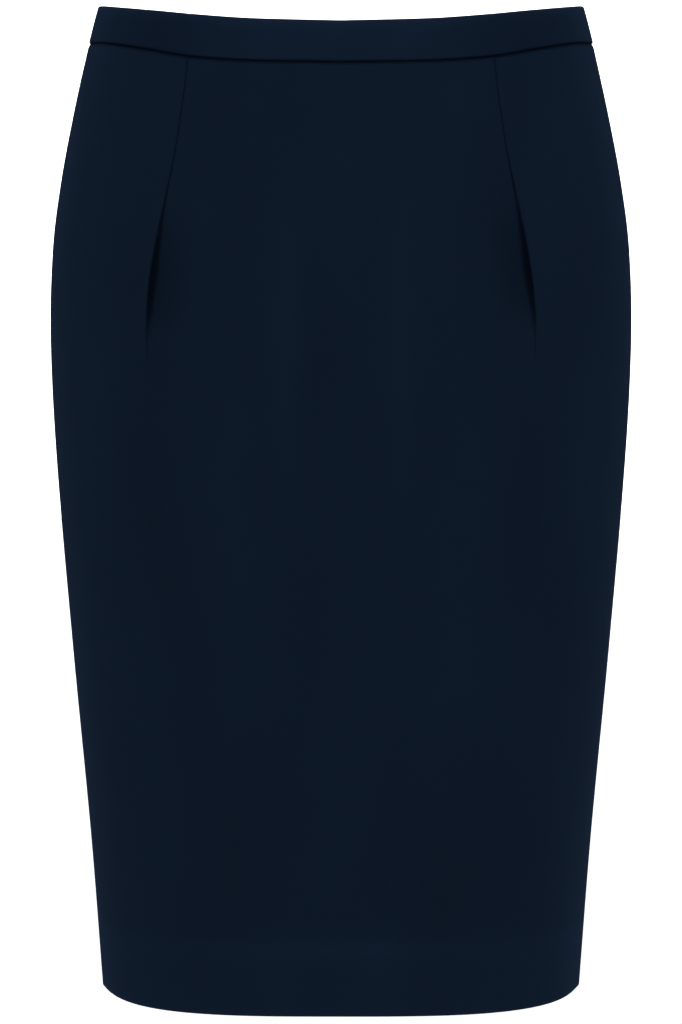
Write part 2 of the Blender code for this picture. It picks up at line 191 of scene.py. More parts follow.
# Soft ridges and troughs in the cloth, from their upper end to their lower end. Across is
# the distance from centre front or centre back, positive to the wearer's left.
CREASE_COLUMNS = ("upper_across", "upper", "lower_across", "lower", "reach", "height")
FRONT_CREASES = (
    (-34, -45, -33, -330, 8, 1.15),
    (36, -50, 35, -340, 9, 1.15),
    (1, -40, -2, -175, 11, 0.45),
    (-72, -190, -66, -420, 14, 0.5),
    (78, -205, 70, -450, 15, 0.5),
    (-118, -215, -104, -395, 13, -0.6),
    (121, -210, 108, -370, 12, -0.6),
    (12, -300, 6, -520, 18, 0.45),
    (-52, -400, -58, -575, 20, -0.5),
    (56, -420, 60, -580, 19, -0.45),
    (-150, -150, -158, -330, 16, 0.7),
    (152, -165, 158, -345, 15, 0.7),
)
BACK_CREASES = (
    (58, -120, 66, -330, 14, 0.8),
    (-61, -130, -66, -350, 13, 0.8),
    (96, -185, 86, -430, 16, -0.8),
    (-99, -175, -90, -410, 17, -0.8),
    (22, -215, 30, -420, 13, 0.6),
    (-24, -230, -28, -415, 14, 0.6),
    (128, -120, 140, -300, 15, 0.8),
    (-131, -110, -142, -285, 15, 0.8),
    (112, -400, 104, -580, 20, 0.9),
    (-108, -420, -104, -585, 20, 0.9),
)
SEED = 11


def curve(rows, columns, name, level):
    """A smooth curve through one column of a table whose first column is the level."""
    at = np.array([row[0] for row in rows], float)
    value = np.array([row[columns.index(name)] for row in rows], float)
    if at[0] > at[-1]:
        at, value = at[::-1], value[::-1]
    slope = np.gradient(value, at)
    slope[1:-1] = (value[2:] - value[:-2]) / (at[2:] - at[:-2])
    level = np.clip(level, at[0], at[-1])
    i = np.clip(np.searchsorted(at, level) - 1, 0, len(at) - 2)
    span = at[i + 1] - at[i]
    part = (level - at[i]) / span
    square, cube = part**2, part**3
    return (
        (2 * cube - 3 * square + 1) * value[i]
        + (cube - 2 * square + part) * span * slope[i]
        + (3 * square - 2 * cube) * value[i + 1]
        + (cube - square) * span * slope[i + 1]
    )


def ease(part):
    """0 to 1 with level ends."""
    part = np.clip(part, 0.0, 1.0)
    return part * part * (3.0 - 2.0 * part)


def bell(distance, reach):
    return np.exp(-((distance / reach) ** 2))


def section(level, degrees, half):
    """Points of the outer face, and the level directions straight out from it there.

    Degrees run from 0 at centre front through 90 at the left side seam to 180.
    """
    level, degrees = np.broadcast_arrays(np.asarray(level, float), degrees)
    width = curve(SECTIONS, SECTION_COLUMNS, "half_width", level)
    depth = curve(SECTIONS, SECTION_COLUMNS, half, level)
    power = curve(SECTIONS, SECTION_COLUMNS, f"{half}_power", level)
    taper = curve(SECTIONS, SECTION_COLUMNS, "taper", level)
    across, along = np.sin(np.radians(degrees)), -np.cos(np.radians(degrees))
    reach = (np.abs(across) ** power + np.abs(along) ** power) ** (-1.0 / power)
    x, y = reach * across, reach * along
    out_x = np.sign(x) * np.abs(x) ** (power - 1.0) / width
    out_y = np.sign(y) * np.abs(y) ** (power - 1.0) / depth
    length = np.hypot(out_x, out_y)
    apart = -SEAM_GAP / 2 if half == "front" else SEAM_GAP / 2
    point = np.stack([x * width * (1.0 - taper * np.abs(y)), y * depth + apart, level], -1)
    outward = np.stack([out_x / length, out_y / length, np.zeros_like(level)], -1)
    return point, outward


def off_face(level, degrees, half, out):
    """Points moved straight out from the outer face by a distance."""
    here, away = section(level, degrees, half)
    return here + away * out[..., None]


def dip_at(degrees, line):
    """How far the top edge or the waist seam has dipped at these angles."""
    from_front = np.abs(degrees)
    front = curve(DIPS["front"], DIP_COLUMNS, line, from_front)
    back = curve(DIPS["back"], DIP_COLUMNS, line, 180.0 - from_front)
    return np.where(from_front <= 90.0, front, back)


def panel_level(level, degrees):
    """A panel row's level: the dip of the waist seam fades out down the panel."""
    left = 1.0 - ease((WAIST_SEAM_LEVEL - level) / (WAIST_SEAM_LEVEL - DIP_ENDS))
    return level - dip_at(degrees, "seam") * left


def steps(*stops):
    """Levels between stops of (level, step), each stretch in steps of about the size given with it.
    """
    found = [stops[0][0]]
    for (start, step), (end, _) in zip(stops, stops[1:]):
        count = max(1, round(abs(end - start) / step))
        found += [start + (end - start) * i / count for i in range(1, count + 1)]
    return np.array(found)


TURNED = HEM_LEVEL + HEM_ALLOWANCE
VENT_TOP = HEM_LEVEL + VENT_LENGTH
FOLD_RADIUS = HEM_WALL / 2
FOLD_HEIGHTS = (1.2, 0.75, 0.42, 0.2, 0.06, 0.0)


def panel_rows():
    """Row levels from the waist seam to the hem, with the outer and inner faces' depths.

    The two faces meet at the hem's fold, and the inner one steps in where the hem is
    turned up.
    """
    top = WAIST_SEAM_LEVEL - SEAM_GAP / 2
    levels = steps(
        (top, 0.3), (top - 1.5, 0.8), (top - 4.0, 2.0), (top - 8.0, 3.5), (VENT_TOP + 1.0, 0.5),
        (VENT_TOP, 0.5), (VENT_TOP - 1.0, 3.5), (TURNED + 8.0, 1.2), (TURNED + 0.7, 0.35),
        (TURNED, 1.2), (TURNED - 8.0, 3.0), (HEM_LEVEL + 5.0, 1.3),
        (HEM_LEVEL + FOLD_HEIGHTS[0], 1.0),
    )
    fold = HEM_LEVEL + np.array(FOLD_HEIGHTS[1:])
    outer = np.zeros(len(levels))
    inner = np.where(levels > TURNED + 0.4, WALL, HEM_WALL)
    inner = np.where(np.abs(levels - TURNED - 0.35) < 0.1, (WALL + HEM_WALL) / 2, inner)
    drop = FOLD_RADIUS - np.array(FOLD_HEIGHTS[1:])
    round_off = np.sqrt(np.maximum(FOLD_RADIUS**2 - drop**2, 0.0004))
    return (
        np.concatenate([levels, fold]),
        np.concatenate([outer, FOLD_RADIUS - round_off]),
        np.concatenate([inner, FOLD_RADIUS + round_off]),
    )


ARC_POINTS = 721


def arc_of(level, half):
    """Angles from the centre line to the side seam, their distances along the cloth and x."""
    turn = np.linspace(0.0, 90.0, ARC_POINTS)
    degrees = turn if half == "front" else 180.0 - turn
    point, _ = section(panel_level(level, degrees), degrees, half)
    run = np.linalg.norm(np.diff(point, axis=0), axis=1)
    return degrees, np.concatenate([[0.0], np.cumsum(run)]), point[:, 0]


def creases(table, across, level):
    """How far the soft ridges and troughs lift the cloth."""
    lift = np.zeros_like(across)
    for row in table:
        c = dict(zip(CREASE_COLUMNS, row))
        run = (c["upper"] - level) / (c["upper"] - c["lower"])
        line = c["upper_across"] + (c["lower_across"] - c["upper_across"]) * run
        fade = np.where((run > 0) & (run < 1), np.sin(np.pi * np.clip(run, 0, 1)) ** 1.2, 0.0)
        lift += c["height"] * fade * bell(across - line, c["reach"])
    return lift


WAVES = 10
WAVE_TURN = 0.9
WAVE_LENGTHS = (38.0, 105.0)
WAVE_UPRIGHT = 0.35
WAVE_FLATNESS = 2100.0


def wander(across, level, seed):
    """A slow unevenness, a fraction of a millimetre deep."""
    random = np.random.default_rng(seed)
    lift = np.zeros_like(across)
    for _ in range(WAVES):
        turn, length = random.uniform(-WAVE_TURN, WAVE_TURN), random.uniform(*WAVE_LENGTHS)
        way = (across * np.cos(turn) + WAVE_UPRIGHT * level * np.sin(turn)) * 2 * np.pi / length
        lift += np.sin(way + random.uniform(0, 2 * np.pi)) * length / WAVE_FLATNESS
    return lift


HEM_RIDGE, HEM_RIDGE_BELOW, HEM_RIDGE_REACH = 0.30, 4.0, 6.5
HEM_DENT, HEM_DENT_ABOVE, HEM_DENT_REACH = 0.16, 1.0, 1.6
HEM_STITCH = 9.0


def hem_marks(level, across, strength):
    """The ridge over the turned-up edge, with the small dents of its hidden stitches."""
    above = level - TURNED
    ridge = HEM_RIDGE * bell(above + HEM_RIDGE_BELOW, HEM_RIDGE_REACH) * strength
    stitches = 0.6 + 0.4 * np.cos(across * 2 * np.pi / HEM_STITCH)
    return ridge - HEM_DENT * bell(above - HEM_DENT_ABOVE, HEM_DENT_REACH) * stitches


ROLL_DEPTH, ROLL_REACH = 0.62, 0.85


def seam_roll(distance, depth=ROLL_DEPTH, reach=ROLL_REACH):
    """How far cloth turns in at a seam, by the distance from it."""
    return depth * bell(distance, reach)


def finished(name, data, finish, body, sharp):
    """A smooth-shaded object made of a mesh, riding on its body."""
    data.shade_smooth()
    data.set_sharp_from_angle(angle=math.radians(sharp))
    data.materials.append(finish)
    made = bpy.data.objects.new(name, data)
    bpy.context.scene.collection.objects.link(made)
    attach(made, body)
    return made


CLOTH_SHARP = 50.0
METAL_SHARP = 45.0


class Sewing:
    """Gathers closed shells of cloth and makes one object of them."""

    def __init__(self):
        self.points, self.faces, self.grain, self.tone = [], [], [], []
        self.count = 0

    def add(self, points, faces, grain, tone=None):
        points = np.asarray(points, float).reshape(-1, 3)
        self.points.append(points)
        self.faces.append(np.asarray(faces) + self.count)
        self.grain.append(np.asarray(grain, float).reshape(-1, 3))
        tone = np.zeros(len(points)) if tone is None else np.asarray(tone, float).ravel()
        self.tone.append(tone)
        self.count += len(points)

    def shell(self, outer, inner, grain, tone=None, present=None):
        """A closed wall between two grids of points; present says which cells exist."""
        height, width = outer.shape[:2]
        index = np.arange(height * width).reshape(height, width)
        cells = np.stack([index[:-1, :-1], index[1:, :-1], index[1:, 1:], index[:-1, 1:]], -1)
        cells = cells.reshape(-1, 4)
        if present is not None:
            cells = cells[present.ravel()]
        sides = np.concatenate([cells[:, [k, (k + 1) % 4]] for k in range(4)])
        key = np.sort(sides, 1)
        key = key[:, 0] * height * width + key[:, 1]
        _, first, times = np.unique(key, return_index=True, return_counts=True)
        rim = sides[first[times == 1]]
        away = height * width
        rim = np.stack([rim[:, 1], rim[:, 0], rim[:, 0] + away, rim[:, 1] + away], -1)
        faces = np.concatenate([cells, cells[:, ::-1] + away, rim])
        used = np.unique(faces)
        place = np.full(2 * away, -1)
        place[used] = np.arange(len(used))
        points = np.concatenate([outer.reshape(-1, 3), inner.reshape(-1, 3)])[used]
        grain = np.concatenate([grain.reshape(-1, 3)] * 2)[used]
        if tone is None:
            tone = np.zeros((height, width))
        tone = np.concatenate([tone.ravel(), np.zeros(tone.size)])[used]
        self.add(points, place[faces], grain, tone)

    def tube(self, path, radius, sides):
        """A round thread along a path of points."""
        path = np.asarray(path, float)
        along = np.gradient(path, axis=0)
        along /= np.linalg.norm(along, axis=1, keepdims=True) + 1e-12
        across = np.empty_like(path)
        last = np.array([0.0, 0.0, 1.0]) if abs(along[0, 2]) < 0.9 else np.array([1.0, 0.0, 0.0])
        for i, way in enumerate(along):
            last = last - way * np.dot(last, way)
            last = last / np.linalg.norm(last)
            across[i] = last
        third = np.cross(along, across)
        turn = np.arange(sides) * 2 * np.pi / sides
        ring = (
            path[:, None]
            + radius * np.cos(turn)[None, :, None] * across[:, None]
            + radius * np.sin(turn)[None, :, None] * third[:, None]
        )
        index = np.arange(len(path) * sides).reshape(-1, sides)
        here, ahead = index[:-1], index[1:]
        faces = np.stack([here, np.roll(here, -1, 1), np.roll(ahead, -1, 1), ahead], -1)
        ends = path[[0, -1]] - along[[0, -1]] * np.array([[radius], [-radius]]) * 0.6
        points = np.concatenate([ring.reshape(-1, 3), ends])
        low, high = index.size, index.size + 1
        first, final = index[0], index[-1]
        caps = [[low, first[(k + 1) % sides], first[k], first[k]] for k in range(sides)]
        caps += [[high, final[k], final[(k + 1) % sides], final[k]] for k in range(sides)]
        faces = np.concatenate([faces.reshape(-1, 4), np.array(caps)])
        grain = np.zeros((len(points), 3))
        grain[:, 0] = points[:, 0] + points[:, 1]
        grain[:, 1] = points[:, 2]
        self.add(points, faces, grain)

    def make(self, name, finish):
        data = bpy.data.meshes.new(name)
        points = np.concatenate(self.points) * MM
        faces = np.concatenate(self.faces)
        polygons = [tuple(dict.fromkeys(face)) for face in faces.tolist()]
        data.from_pydata(points.tolist(), [], polygons)
        for title, values, kind, key in (
            ("cloth_grain", np.concatenate(self.grain), "FLOAT_VECTOR", "vector"),
            ("cloth_painted_light_and_shade", np.concatenate(self.tone), "FLOAT", "value"),
        ):
            layer = data.attributes.new(title, kind, "POINT")
            layer.data.foreach_set(key, np.asarray(values, np.float32).ravel())
        mesh = bmesh.new()
        mesh.from_mesh(data)
        bmesh.ops.recalc_face_normals(mesh, faces=mesh.faces)
        mesh.to_mesh(data)
        mesh.free()
        data.validate()
        return finished(name, data, finish, "skirt", CLOTH_SHARP)


def width_at(level):
    return curve(SECTIONS, SECTION_COLUMNS, "half_width", level)


def dart(side, name, level):
    """A front dart's column; its line keeps its share of the width below the dart's end."""
    if name != "x":
        return curve(FRONT_DARTS[side], DART_COLUMNS, name, level)
    line = curve(FRONT_DARTS[side], DART_COLUMNS, name, np.maximum(level, DART_END))
    return line * np.where(level < DART_END, width_at(level) / width_at(DART_END), 1.0)


def column(name):
    return np.array([row[FOLD_COLUMNS.index(name)] for row in FOLD], float)


SIDE_SEAM_STEPS = np.array([6.0, 4.0, 2.6, 1.6, 0.9, 0.4, 0.0])
CENTRE_COUNT = 30
SIDE_COUNT = 24
# The sewn dart's groove fades out below this level, over this run.
GROOVE_FADES, GROOVE_FADE_RUN = -132.0, 34.0
# Below the tuck the fold's columns spread out again, from this far above the dart's end.
RELAX_ABOVE, RELAX_RUN = 48.0, 42.0
UNDER_LIP, UNDER_LEAST = -0.4, 0.35
INNER_VALLEY = 12.0
# Painted shade in the tuck's valley: how much darker, the valley depth where it is full, and where
# it starts to fade.
VALLEY_PAINTED_SHADE, VALLEY_SHADE_DEPTH, VALLEY_SHADE_FROM = 0.17, 4.0, 8.0
# Painted shade along the sewn dart line: how much darker, and how far it reaches.
DART_LINE_SHADE, DART_LINE_SHADE_REACH = 0.05, 1.2


def front_half(side, rows):
    """One half of the front panel, from centre front to its side seam, as grids."""
    levels, outer_depth, inner_depth = rows
    sewn, opened = column("sewn_across"), column("open_across")
    flat = np.linspace(-FOLD_SPAN, FOLD_SPAN, len(FOLD))
    groove, out = column("groove"), column("out")
    side_part = column("side_part").astype(bool)
    grids = {k: [] for k in ("degrees", "inner_degrees", "out", "inner_out", "across", "tone")}
    for level, sink, thick in zip(levels, outer_depth, inner_depth):
        degrees, arc, x = arc_of(level, "front")
        line = np.interp(dart(side, "x", level), x, arc)
        seam = arc[-1]
        lip, valley, let_go = (float(dart(side, n, level)) for n in ("lip", "valley", "open"))
        let_go = min(max(let_go, 0.0), 1.0)
        relaxed = float(ease((DART_END + RELAX_ABOVE - level) / RELAX_RUN))
        near = (1.0 - let_go) * sewn + let_go * opened
        near = (1.0 - relaxed) * near + relaxed * flat
        start, end = line - FOLD_SPAN, line + FOLD_SPAN
        centre = np.linspace(0.0, start, CENTRE_COUNT)[:-1]
        beyond = np.linspace(end, seam - SIDE_SEAM_STEPS[0], SIDE_COUNT)[1:-1]
        rest = seam - SIDE_SEAM_STEPS
        across = np.concatenate([centre, line + near, beyond, rest])
        inner_across = np.concatenate([centre, line + flat, beyond, rest])
        on_side = np.concatenate([
            np.zeros(len(centre), bool), side_part, np.ones(len(beyond) + len(rest), bool)
        ])
        off = across - line
        sunk = valley * (1.0 - ease(-off / VALLEY_REACH)) ** VALLEY_POWER
        sunk += CREVICE_DEPTH * let_go * (1.0 - ease(-off / CREVICE_REACH))
        proud = lip * (1.0 - ease(off / LIP_REACH))
        lift = np.where(on_side, proud, -sunk)
        strength = 1.0 - ease((GROOVE_FADES - level) / GROOVE_FADE_RUN)
        shape = let_go * out - (1.0 - let_go) * GROOVE * groove * strength
        middle = slice(len(centre), len(centre) + len(near))
        lift[middle] += shape
        under = side_part & (out < UNDER_LIP)
        lift[middle][under] = np.maximum(lift[middle][under], -valley + UNDER_LEAST * let_go)
        inner_off = inner_across - line
        inner_lift = -valley * np.where(
            inner_off < 0,
            (1.0 - ease(-inner_off / VALLEY_REACH)) ** VALLEY_POWER,
            1.0 - ease(inner_off / INNER_VALLEY),
        )
        inner_lift -= CREVICE_DEPTH * let_go * (1.0 - ease(np.abs(inner_off) / CREVICE_REACH))
        # Painted shade: the centre's cloth in the tuck's valley is painted darker, fading away from
        # the dart line.
        valley_shade_fade = 1.0 - ease((-off - VALLEY_SHADE_FROM) / (VALLEY_SHADE_REACH - VALLEY_SHADE_FROM))
        darker = VALLEY_PAINTED_SHADE * ease(valley / VALLEY_SHADE_DEPTH) * valley_shade_fade
        tone = np.where(on_side, 0.0, -darker)
        # Painted shade along the sewn dart's groove, below the waist seam.
        below_waist = ease((WAIST_SEAM_LEVEL - level) / 4.0)
        tone -= DART_LINE_SHADE * bell(off, DART_LINE_SHADE_REACH) * strength * below_waist
        grids["degrees"].append(np.interp(across, arc, degrees))
        grids["inner_degrees"].append(np.interp(inner_across, arc, degrees))
        grids["out"].append(lift - sink)
        grids["inner_out"].append(inner_lift - thick)
        grids["across"].append(across)
        grids["tone"].append(tone + seam_shade_and_shine(seam - across))
    found = {k: np.array(v) for k, v in grids.items()}
    found["from_seam"] = found["across"][:, -1:] - found["across"]
    return found


SEAM_MEETS = 0.08


def meeting(inner, columns, half):
    """The inner faces' points at the side seams, moved to where both panels' seams meet."""
    inner[:, columns, 1] += SEAM_MEETS if half == "front" else -SEAM_MEETS
    return inner


SIDE_FADE, WAIST_FADE = 16.0, 30.0


def common_lift(across, level, from_seam, table, seed):
    """Creases and unevenness, which fade out towards the seams so that panels meet."""
    fade = ease(from_seam / SIDE_FADE) * ease((WAIST_SEAM_LEVEL - level) / WAIST_FADE)
    return (creases(table, across, level) + wander(across, level, seed)) * fade


# Tone is painted light and shade: how much paler or darker the cloth is painted than its colour, as
# a share of it.
# Painted highlight on the ironed edges beside a seam, and painted shade down in the seam.
SEAM_EDGE_HIGHLIGHT, SEAM_EDGE_HIGHLIGHT_AT, SEAM_EDGE_HIGHLIGHT_REACH = 0.16, 1.8, 1.0
SEAM_PAINTED_SHADE, SEAM_PAINTED_SHADE_REACH = 0.4, 0.7
# Painted shade along the waist seam, a painted highlight along the hem's fold, and painted light
# over the turned-up hem.
WAIST_SEAM_SHADE, WAIST_SEAM_SHADE_REACH = 0.55, 1.2
HEM_FOLD_HIGHLIGHT, HEM_FOLD_HIGHLIGHT_REACH = 0.18, 3.0
TURNED_PAINTED_LIGHT, TURNED_PAINTED_LIGHT_RUN = 0.08, 12.0
# Painted sheen along the lower side seams: how much paler, how far it reaches, and the level and
# run over which it comes in.
SIDE_PAINTED_SHEEN, SIDE_PAINTED_SHEEN_REACH = 0.22, 26.0
SIDE_PAINTED_SHEEN_BELOW, SIDE_PAINTED_SHEEN_RUN = -280.0, 100.0
# Painted light and shade per millimetre of lift, on the creases and on the ridge over the hem's
# turned-up edge.
CREASE_PAINTED_LIGHT, HEM_RIDGE_PAINTED_LIGHT = 0.13, 0.5
WAIST_ROLL = (0.85, 1.1)
SIDE_FLAT = 0.25


def seam_shade_and_shine(distance):
    """Painted shade darkens the cloth down in a seam, and a painted highlight, standing in for the
    shine of ironing, makes the ironed edges beside it a little lighter.
    """
    pale = SEAM_EDGE_HIGHLIGHT * bell(distance - SEAM_EDGE_HIGHLIGHT_AT, SEAM_EDGE_HIGHLIGHT_REACH)
    return pale - SEAM_PAINTED_SHADE * bell(distance, SEAM_PAINTED_SHADE_REACH)


def top_and_hem(levels):
    """Painted light along the hem's fold and over the turned-up hem, painted shade along the waist
    seam, and the roll at that seam, by row.
    """
    below = levels[0] - levels
    tone = HEM_FOLD_HIGHLIGHT * bell(levels - HEM_LEVEL, HEM_FOLD_HIGHLIGHT_REACH)
    tone -= WAIST_SEAM_SHADE * bell(below, WAIST_SEAM_SHADE_REACH)
    tone += TURNED_PAINTED_LIGHT * ease((TURNED - levels) / TURNED_PAINTED_LIGHT_RUN)
    return tone[:, None], seam_roll(below, *WAIST_ROLL)[:, None]


def beside_side(from_seam):
    """The waist seam lies flatter where it meets a side seam."""
    return SIDE_FLAT + (1.0 - SIDE_FLAT) * ease(from_seam / SIDE_FADE)


def side_painted_sheen(level, from_seam):
    """Painted sheen: the cloth is painted a little paler along the lower side seams."""
    low = ease((SIDE_PAINTED_SHEEN_BELOW - level) / SIDE_PAINTED_SHEEN_RUN)
    return SIDE_PAINTED_SHEEN * bell(from_seam, SIDE_PAINTED_SHEEN_REACH) * low


def crease_painted_shading(lift, hem):
    """Painted light and shade: raised cloth is painted a little paler than the cloth beside it, as
    if it caught more light, and sunken cloth a little darker.
    """
    return CREASE_PAINTED_LIGHT * lift + HEM_RIDGE_PAINTED_LIGHT * hem


HEM_FADE = 10.0
FRONT_HEM, FRONT_HEM_MORE, FRONT_HEM_REACH = 0.5, 0.9, 75.0
BACK_HEM = 0.8


def front_panel(finish):
    rows = panel_rows()
    levels = rows[0][:, None]
    halves = {side: front_half(side, rows) for side in ("left", "right")}

    def both(name, sign=1.0):
        right, left = halves["right"][name], halves["left"][name]
        return np.concatenate([sign * right[:, :0:-1], left], 1)

    across = both("across", -1.0)
    level = np.broadcast_to(levels, across.shape)
    from_seam = both("from_seam")
    tone, roll = top_and_hem(rows[0])
    tone = tone + side_painted_sheen(level, from_seam)
    lift = common_lift(across, level, from_seam, FRONT_CREASES, SEED)
    strength = FRONT_HEM + FRONT_HEM_MORE * bell(across, FRONT_HEM_REACH)
    hem = hem_marks(level, across, strength) * ease(from_seam / HEM_FADE)
    degrees, inner_degrees = both("degrees", -1.0), both("inner_degrees", -1.0)
    out = both("out") + lift + hem - roll * beside_side(from_seam) - seam_roll(from_seam)
    outer = off_face(panel_level(level, degrees), degrees, "front", out)
    out = both("inner_out") + lift
    inner = off_face(panel_level(level, inner_degrees), inner_degrees, "front", out)
    inner = meeting(inner, [0, -1], "front")
    sewing = Sewing()
    grain = np.stack([across, level, np.zeros_like(across)], -1)
    # The cloth's painted light and shade: at the dart, the seams, the hem, the lower sides and the
    # creases.
    sewing.shell(outer, inner, grain, both("tone") + tone + crease_painted_shading(lift, hem))
    for sign, side in ((1, "left"), (-1, "right")):
        seam_allowance(sewing, "front", sign)
        dart_intake_front(sewing, sign, side)
    return sewing.make("front_panel_cloth", finish)


def mirrored(sign):
    """What a left side's points are multiplied by on this side."""
    return np.array([sign, 1.0, 1.0])


ARCS = {}


def place(half, sign, level, across, out):
    """Points at distances from the centre line along the cloth, moved out from its face."""
    level, across, out = np.broadcast_arrays(
        np.asarray(level, float), np.asarray(across, float), np.asarray(out, float)
    )
    degrees = np.empty(level.shape)
    for at in np.ndindex(level.shape):
        key = (half, round(level[at] * 2))
        if key not in ARCS:
            ARCS[key] = arc_of(key[1] / 2, half)[:2]
        turn, arc = ARCS[key]
        degrees[at] = np.interp(across[at], arc, turn)
    return off_face(panel_level(level, degrees), degrees, half, out) * mirrored(sign)


def seam_length(half, level):
    """The distance along the cloth from the centre line to the side seam."""
    return np.array([arc_of(v, half)[1][-1] for v in np.ravel(level)])


RIM = 0.4
ALLOWANCE_CURL, ALLOWANCE_WAVE = 0.35, 0.5


def patch(sewing, half, sign, levels, across, depth, thickness, seed=None):
    """A layer of cloth lying inside, between levels and across distances, with soft edges."""
    rows, columns = across.shape
    level = np.broadcast_to(levels[:, None], across.shape)
    depth = np.broadcast_to(depth, across.shape).astype(float)
    full = np.ones(columns)
    full[[0, -1]] = RIM
    shut = np.ones(rows)
    shut[[0, -1]] = RIM
    thin = thickness * (1.0 - full[None, :] * shut[:, None]) / 2
    lift = 0.0
    if seed is not None:
        edge = np.linspace(0.0, 1.0, columns)[None, :] ** 2
        wave = wander(np.zeros_like(level), level * 2.2, seed)
        lift = edge * (ALLOWANCE_CURL + ALLOWANCE_WAVE * wave)
    outer = place(half, sign, level, across, -(depth + lift + thin))
    inner = place(half, sign, level, across, -(depth + lift + thickness - thin))
    grain = np.stack([sign * across, level, np.zeros_like(across)], -1)
    sewing.shell(outer, inner, grain)


ALLOWANCE = 15.0
ALLOWANCE_PARTS = np.array([0.01, 0.08, 0.3, 0.55, 0.8, 0.95, 1.0])
LAYER = 0.75
LAYER_GAP = 0.06
BELOW_BAND = 4.5


def seam_allowance(sewing, half, sign):
    """The side seam's allowance, ironed open inside."""
    levels = np.linspace(WAIST_SEAM_LEVEL - BELOW_BAND, TURNED + 1.5, 110)
    across = seam_length(half, levels)[:, None] - ALLOWANCE * ALLOWANCE_PARTS[None, :]
    depth = WALL + LAYER_GAP
    patch(sewing, half, sign, levels, across, depth, LAYER, seed=SEED + 3 + sign)


INTAKE_COLUMNS = ("level", "width")
FRONT_INTAKE = ((-24, 10), (-80, 12), (-130, 12.5), (-175, 8), (-214, 0.8))
BACK_INTAKE = ((-20, 13), (-70, 8), (-110, 3), (-128, 0.8))
INTAKE_PARTS = np.array([0.0, 0.1, 0.35, 0.7, 0.93, 1.0])


def dart_intake_front(sewing, sign, side):
    """The front dart's cloth, folded double inside towards the side seam."""
    levels = np.linspace(FRONT_INTAKE[0][0], FRONT_INTAKE[-1][0], 60)
    line = []
    for level in levels:
        _, arc, x = arc_of(level, "front")
        line.append(np.interp(dart(side, "x", level), x, arc))
    width = curve(FRONT_INTAKE, INTAKE_COLUMNS, "width", levels)
    across = np.array(line)[:, None] + 0.4 + width[:, None] * INTAKE_PARTS[None, :]
    depth = WALL + LAYER_GAP + dart(side, "valley", levels)[:, None]
    patch(sewing, "front", sign, levels, across, depth, 2 * LAYER)


BACK_NEAR = np.array([-6, -4, -2.6, -1.5, -0.8, -0.4, -0.15, 0, 0.15, 0.4, 0.8, 1.5, 2.6, 4, 6])
EDGE_STEPS = np.array([0.0, 0.3, 0.7, 1.3, 2.2, 3.5, 6.0])
UNDERLAP_PARTS = np.array([0.04, 0.12, 0.24, 0.38, 0.52, 0.66, 0.8, 0.9, 0.96, 0.99, 1.0])


def zip_gap(level):
    """The gap between the edges at centre back: wide along the zip, a seam below it."""
    return ZIP_GAP + (SEAM_GAP - ZIP_GAP) * ease((ZIP_END - level) / ZIP_GAP_CLOSES)


def back_dart_line(level):
    degrees, arc, _ = arc_of(level, "back")
    return np.interp(-(180.0 - BACK_DART_DEGREES), -degrees, arc)


def vent_sunk(level, across):
    """How far the right panel sinks near centre back, to pass under the left one."""
    deep = VENT_DEPTH * ease((VENT_TOP + VENT_RAMP - level) / VENT_RAMP)
    return deep * ease((VENT_FOLD - across) / VENT_FOLD)


BACK_CENTRE_COUNT, BACK_SIDE_COUNT = 15, 40
BACK_GROOVE_REACH, BACK_GROOVE_ENDS = 0.75, 0.8
# Painted shade down in the back dart's groove, as a share of the cloth's colour.
BACK_GROOVE_SHADE = 0.25
PULLED_IN, PULLED_REACH = 0.5, 12.0
ZIP_ROLL = 0.5
EDGE_FADE = 14.0
FLARE, FLARE_REACH = 1.3, 16.0


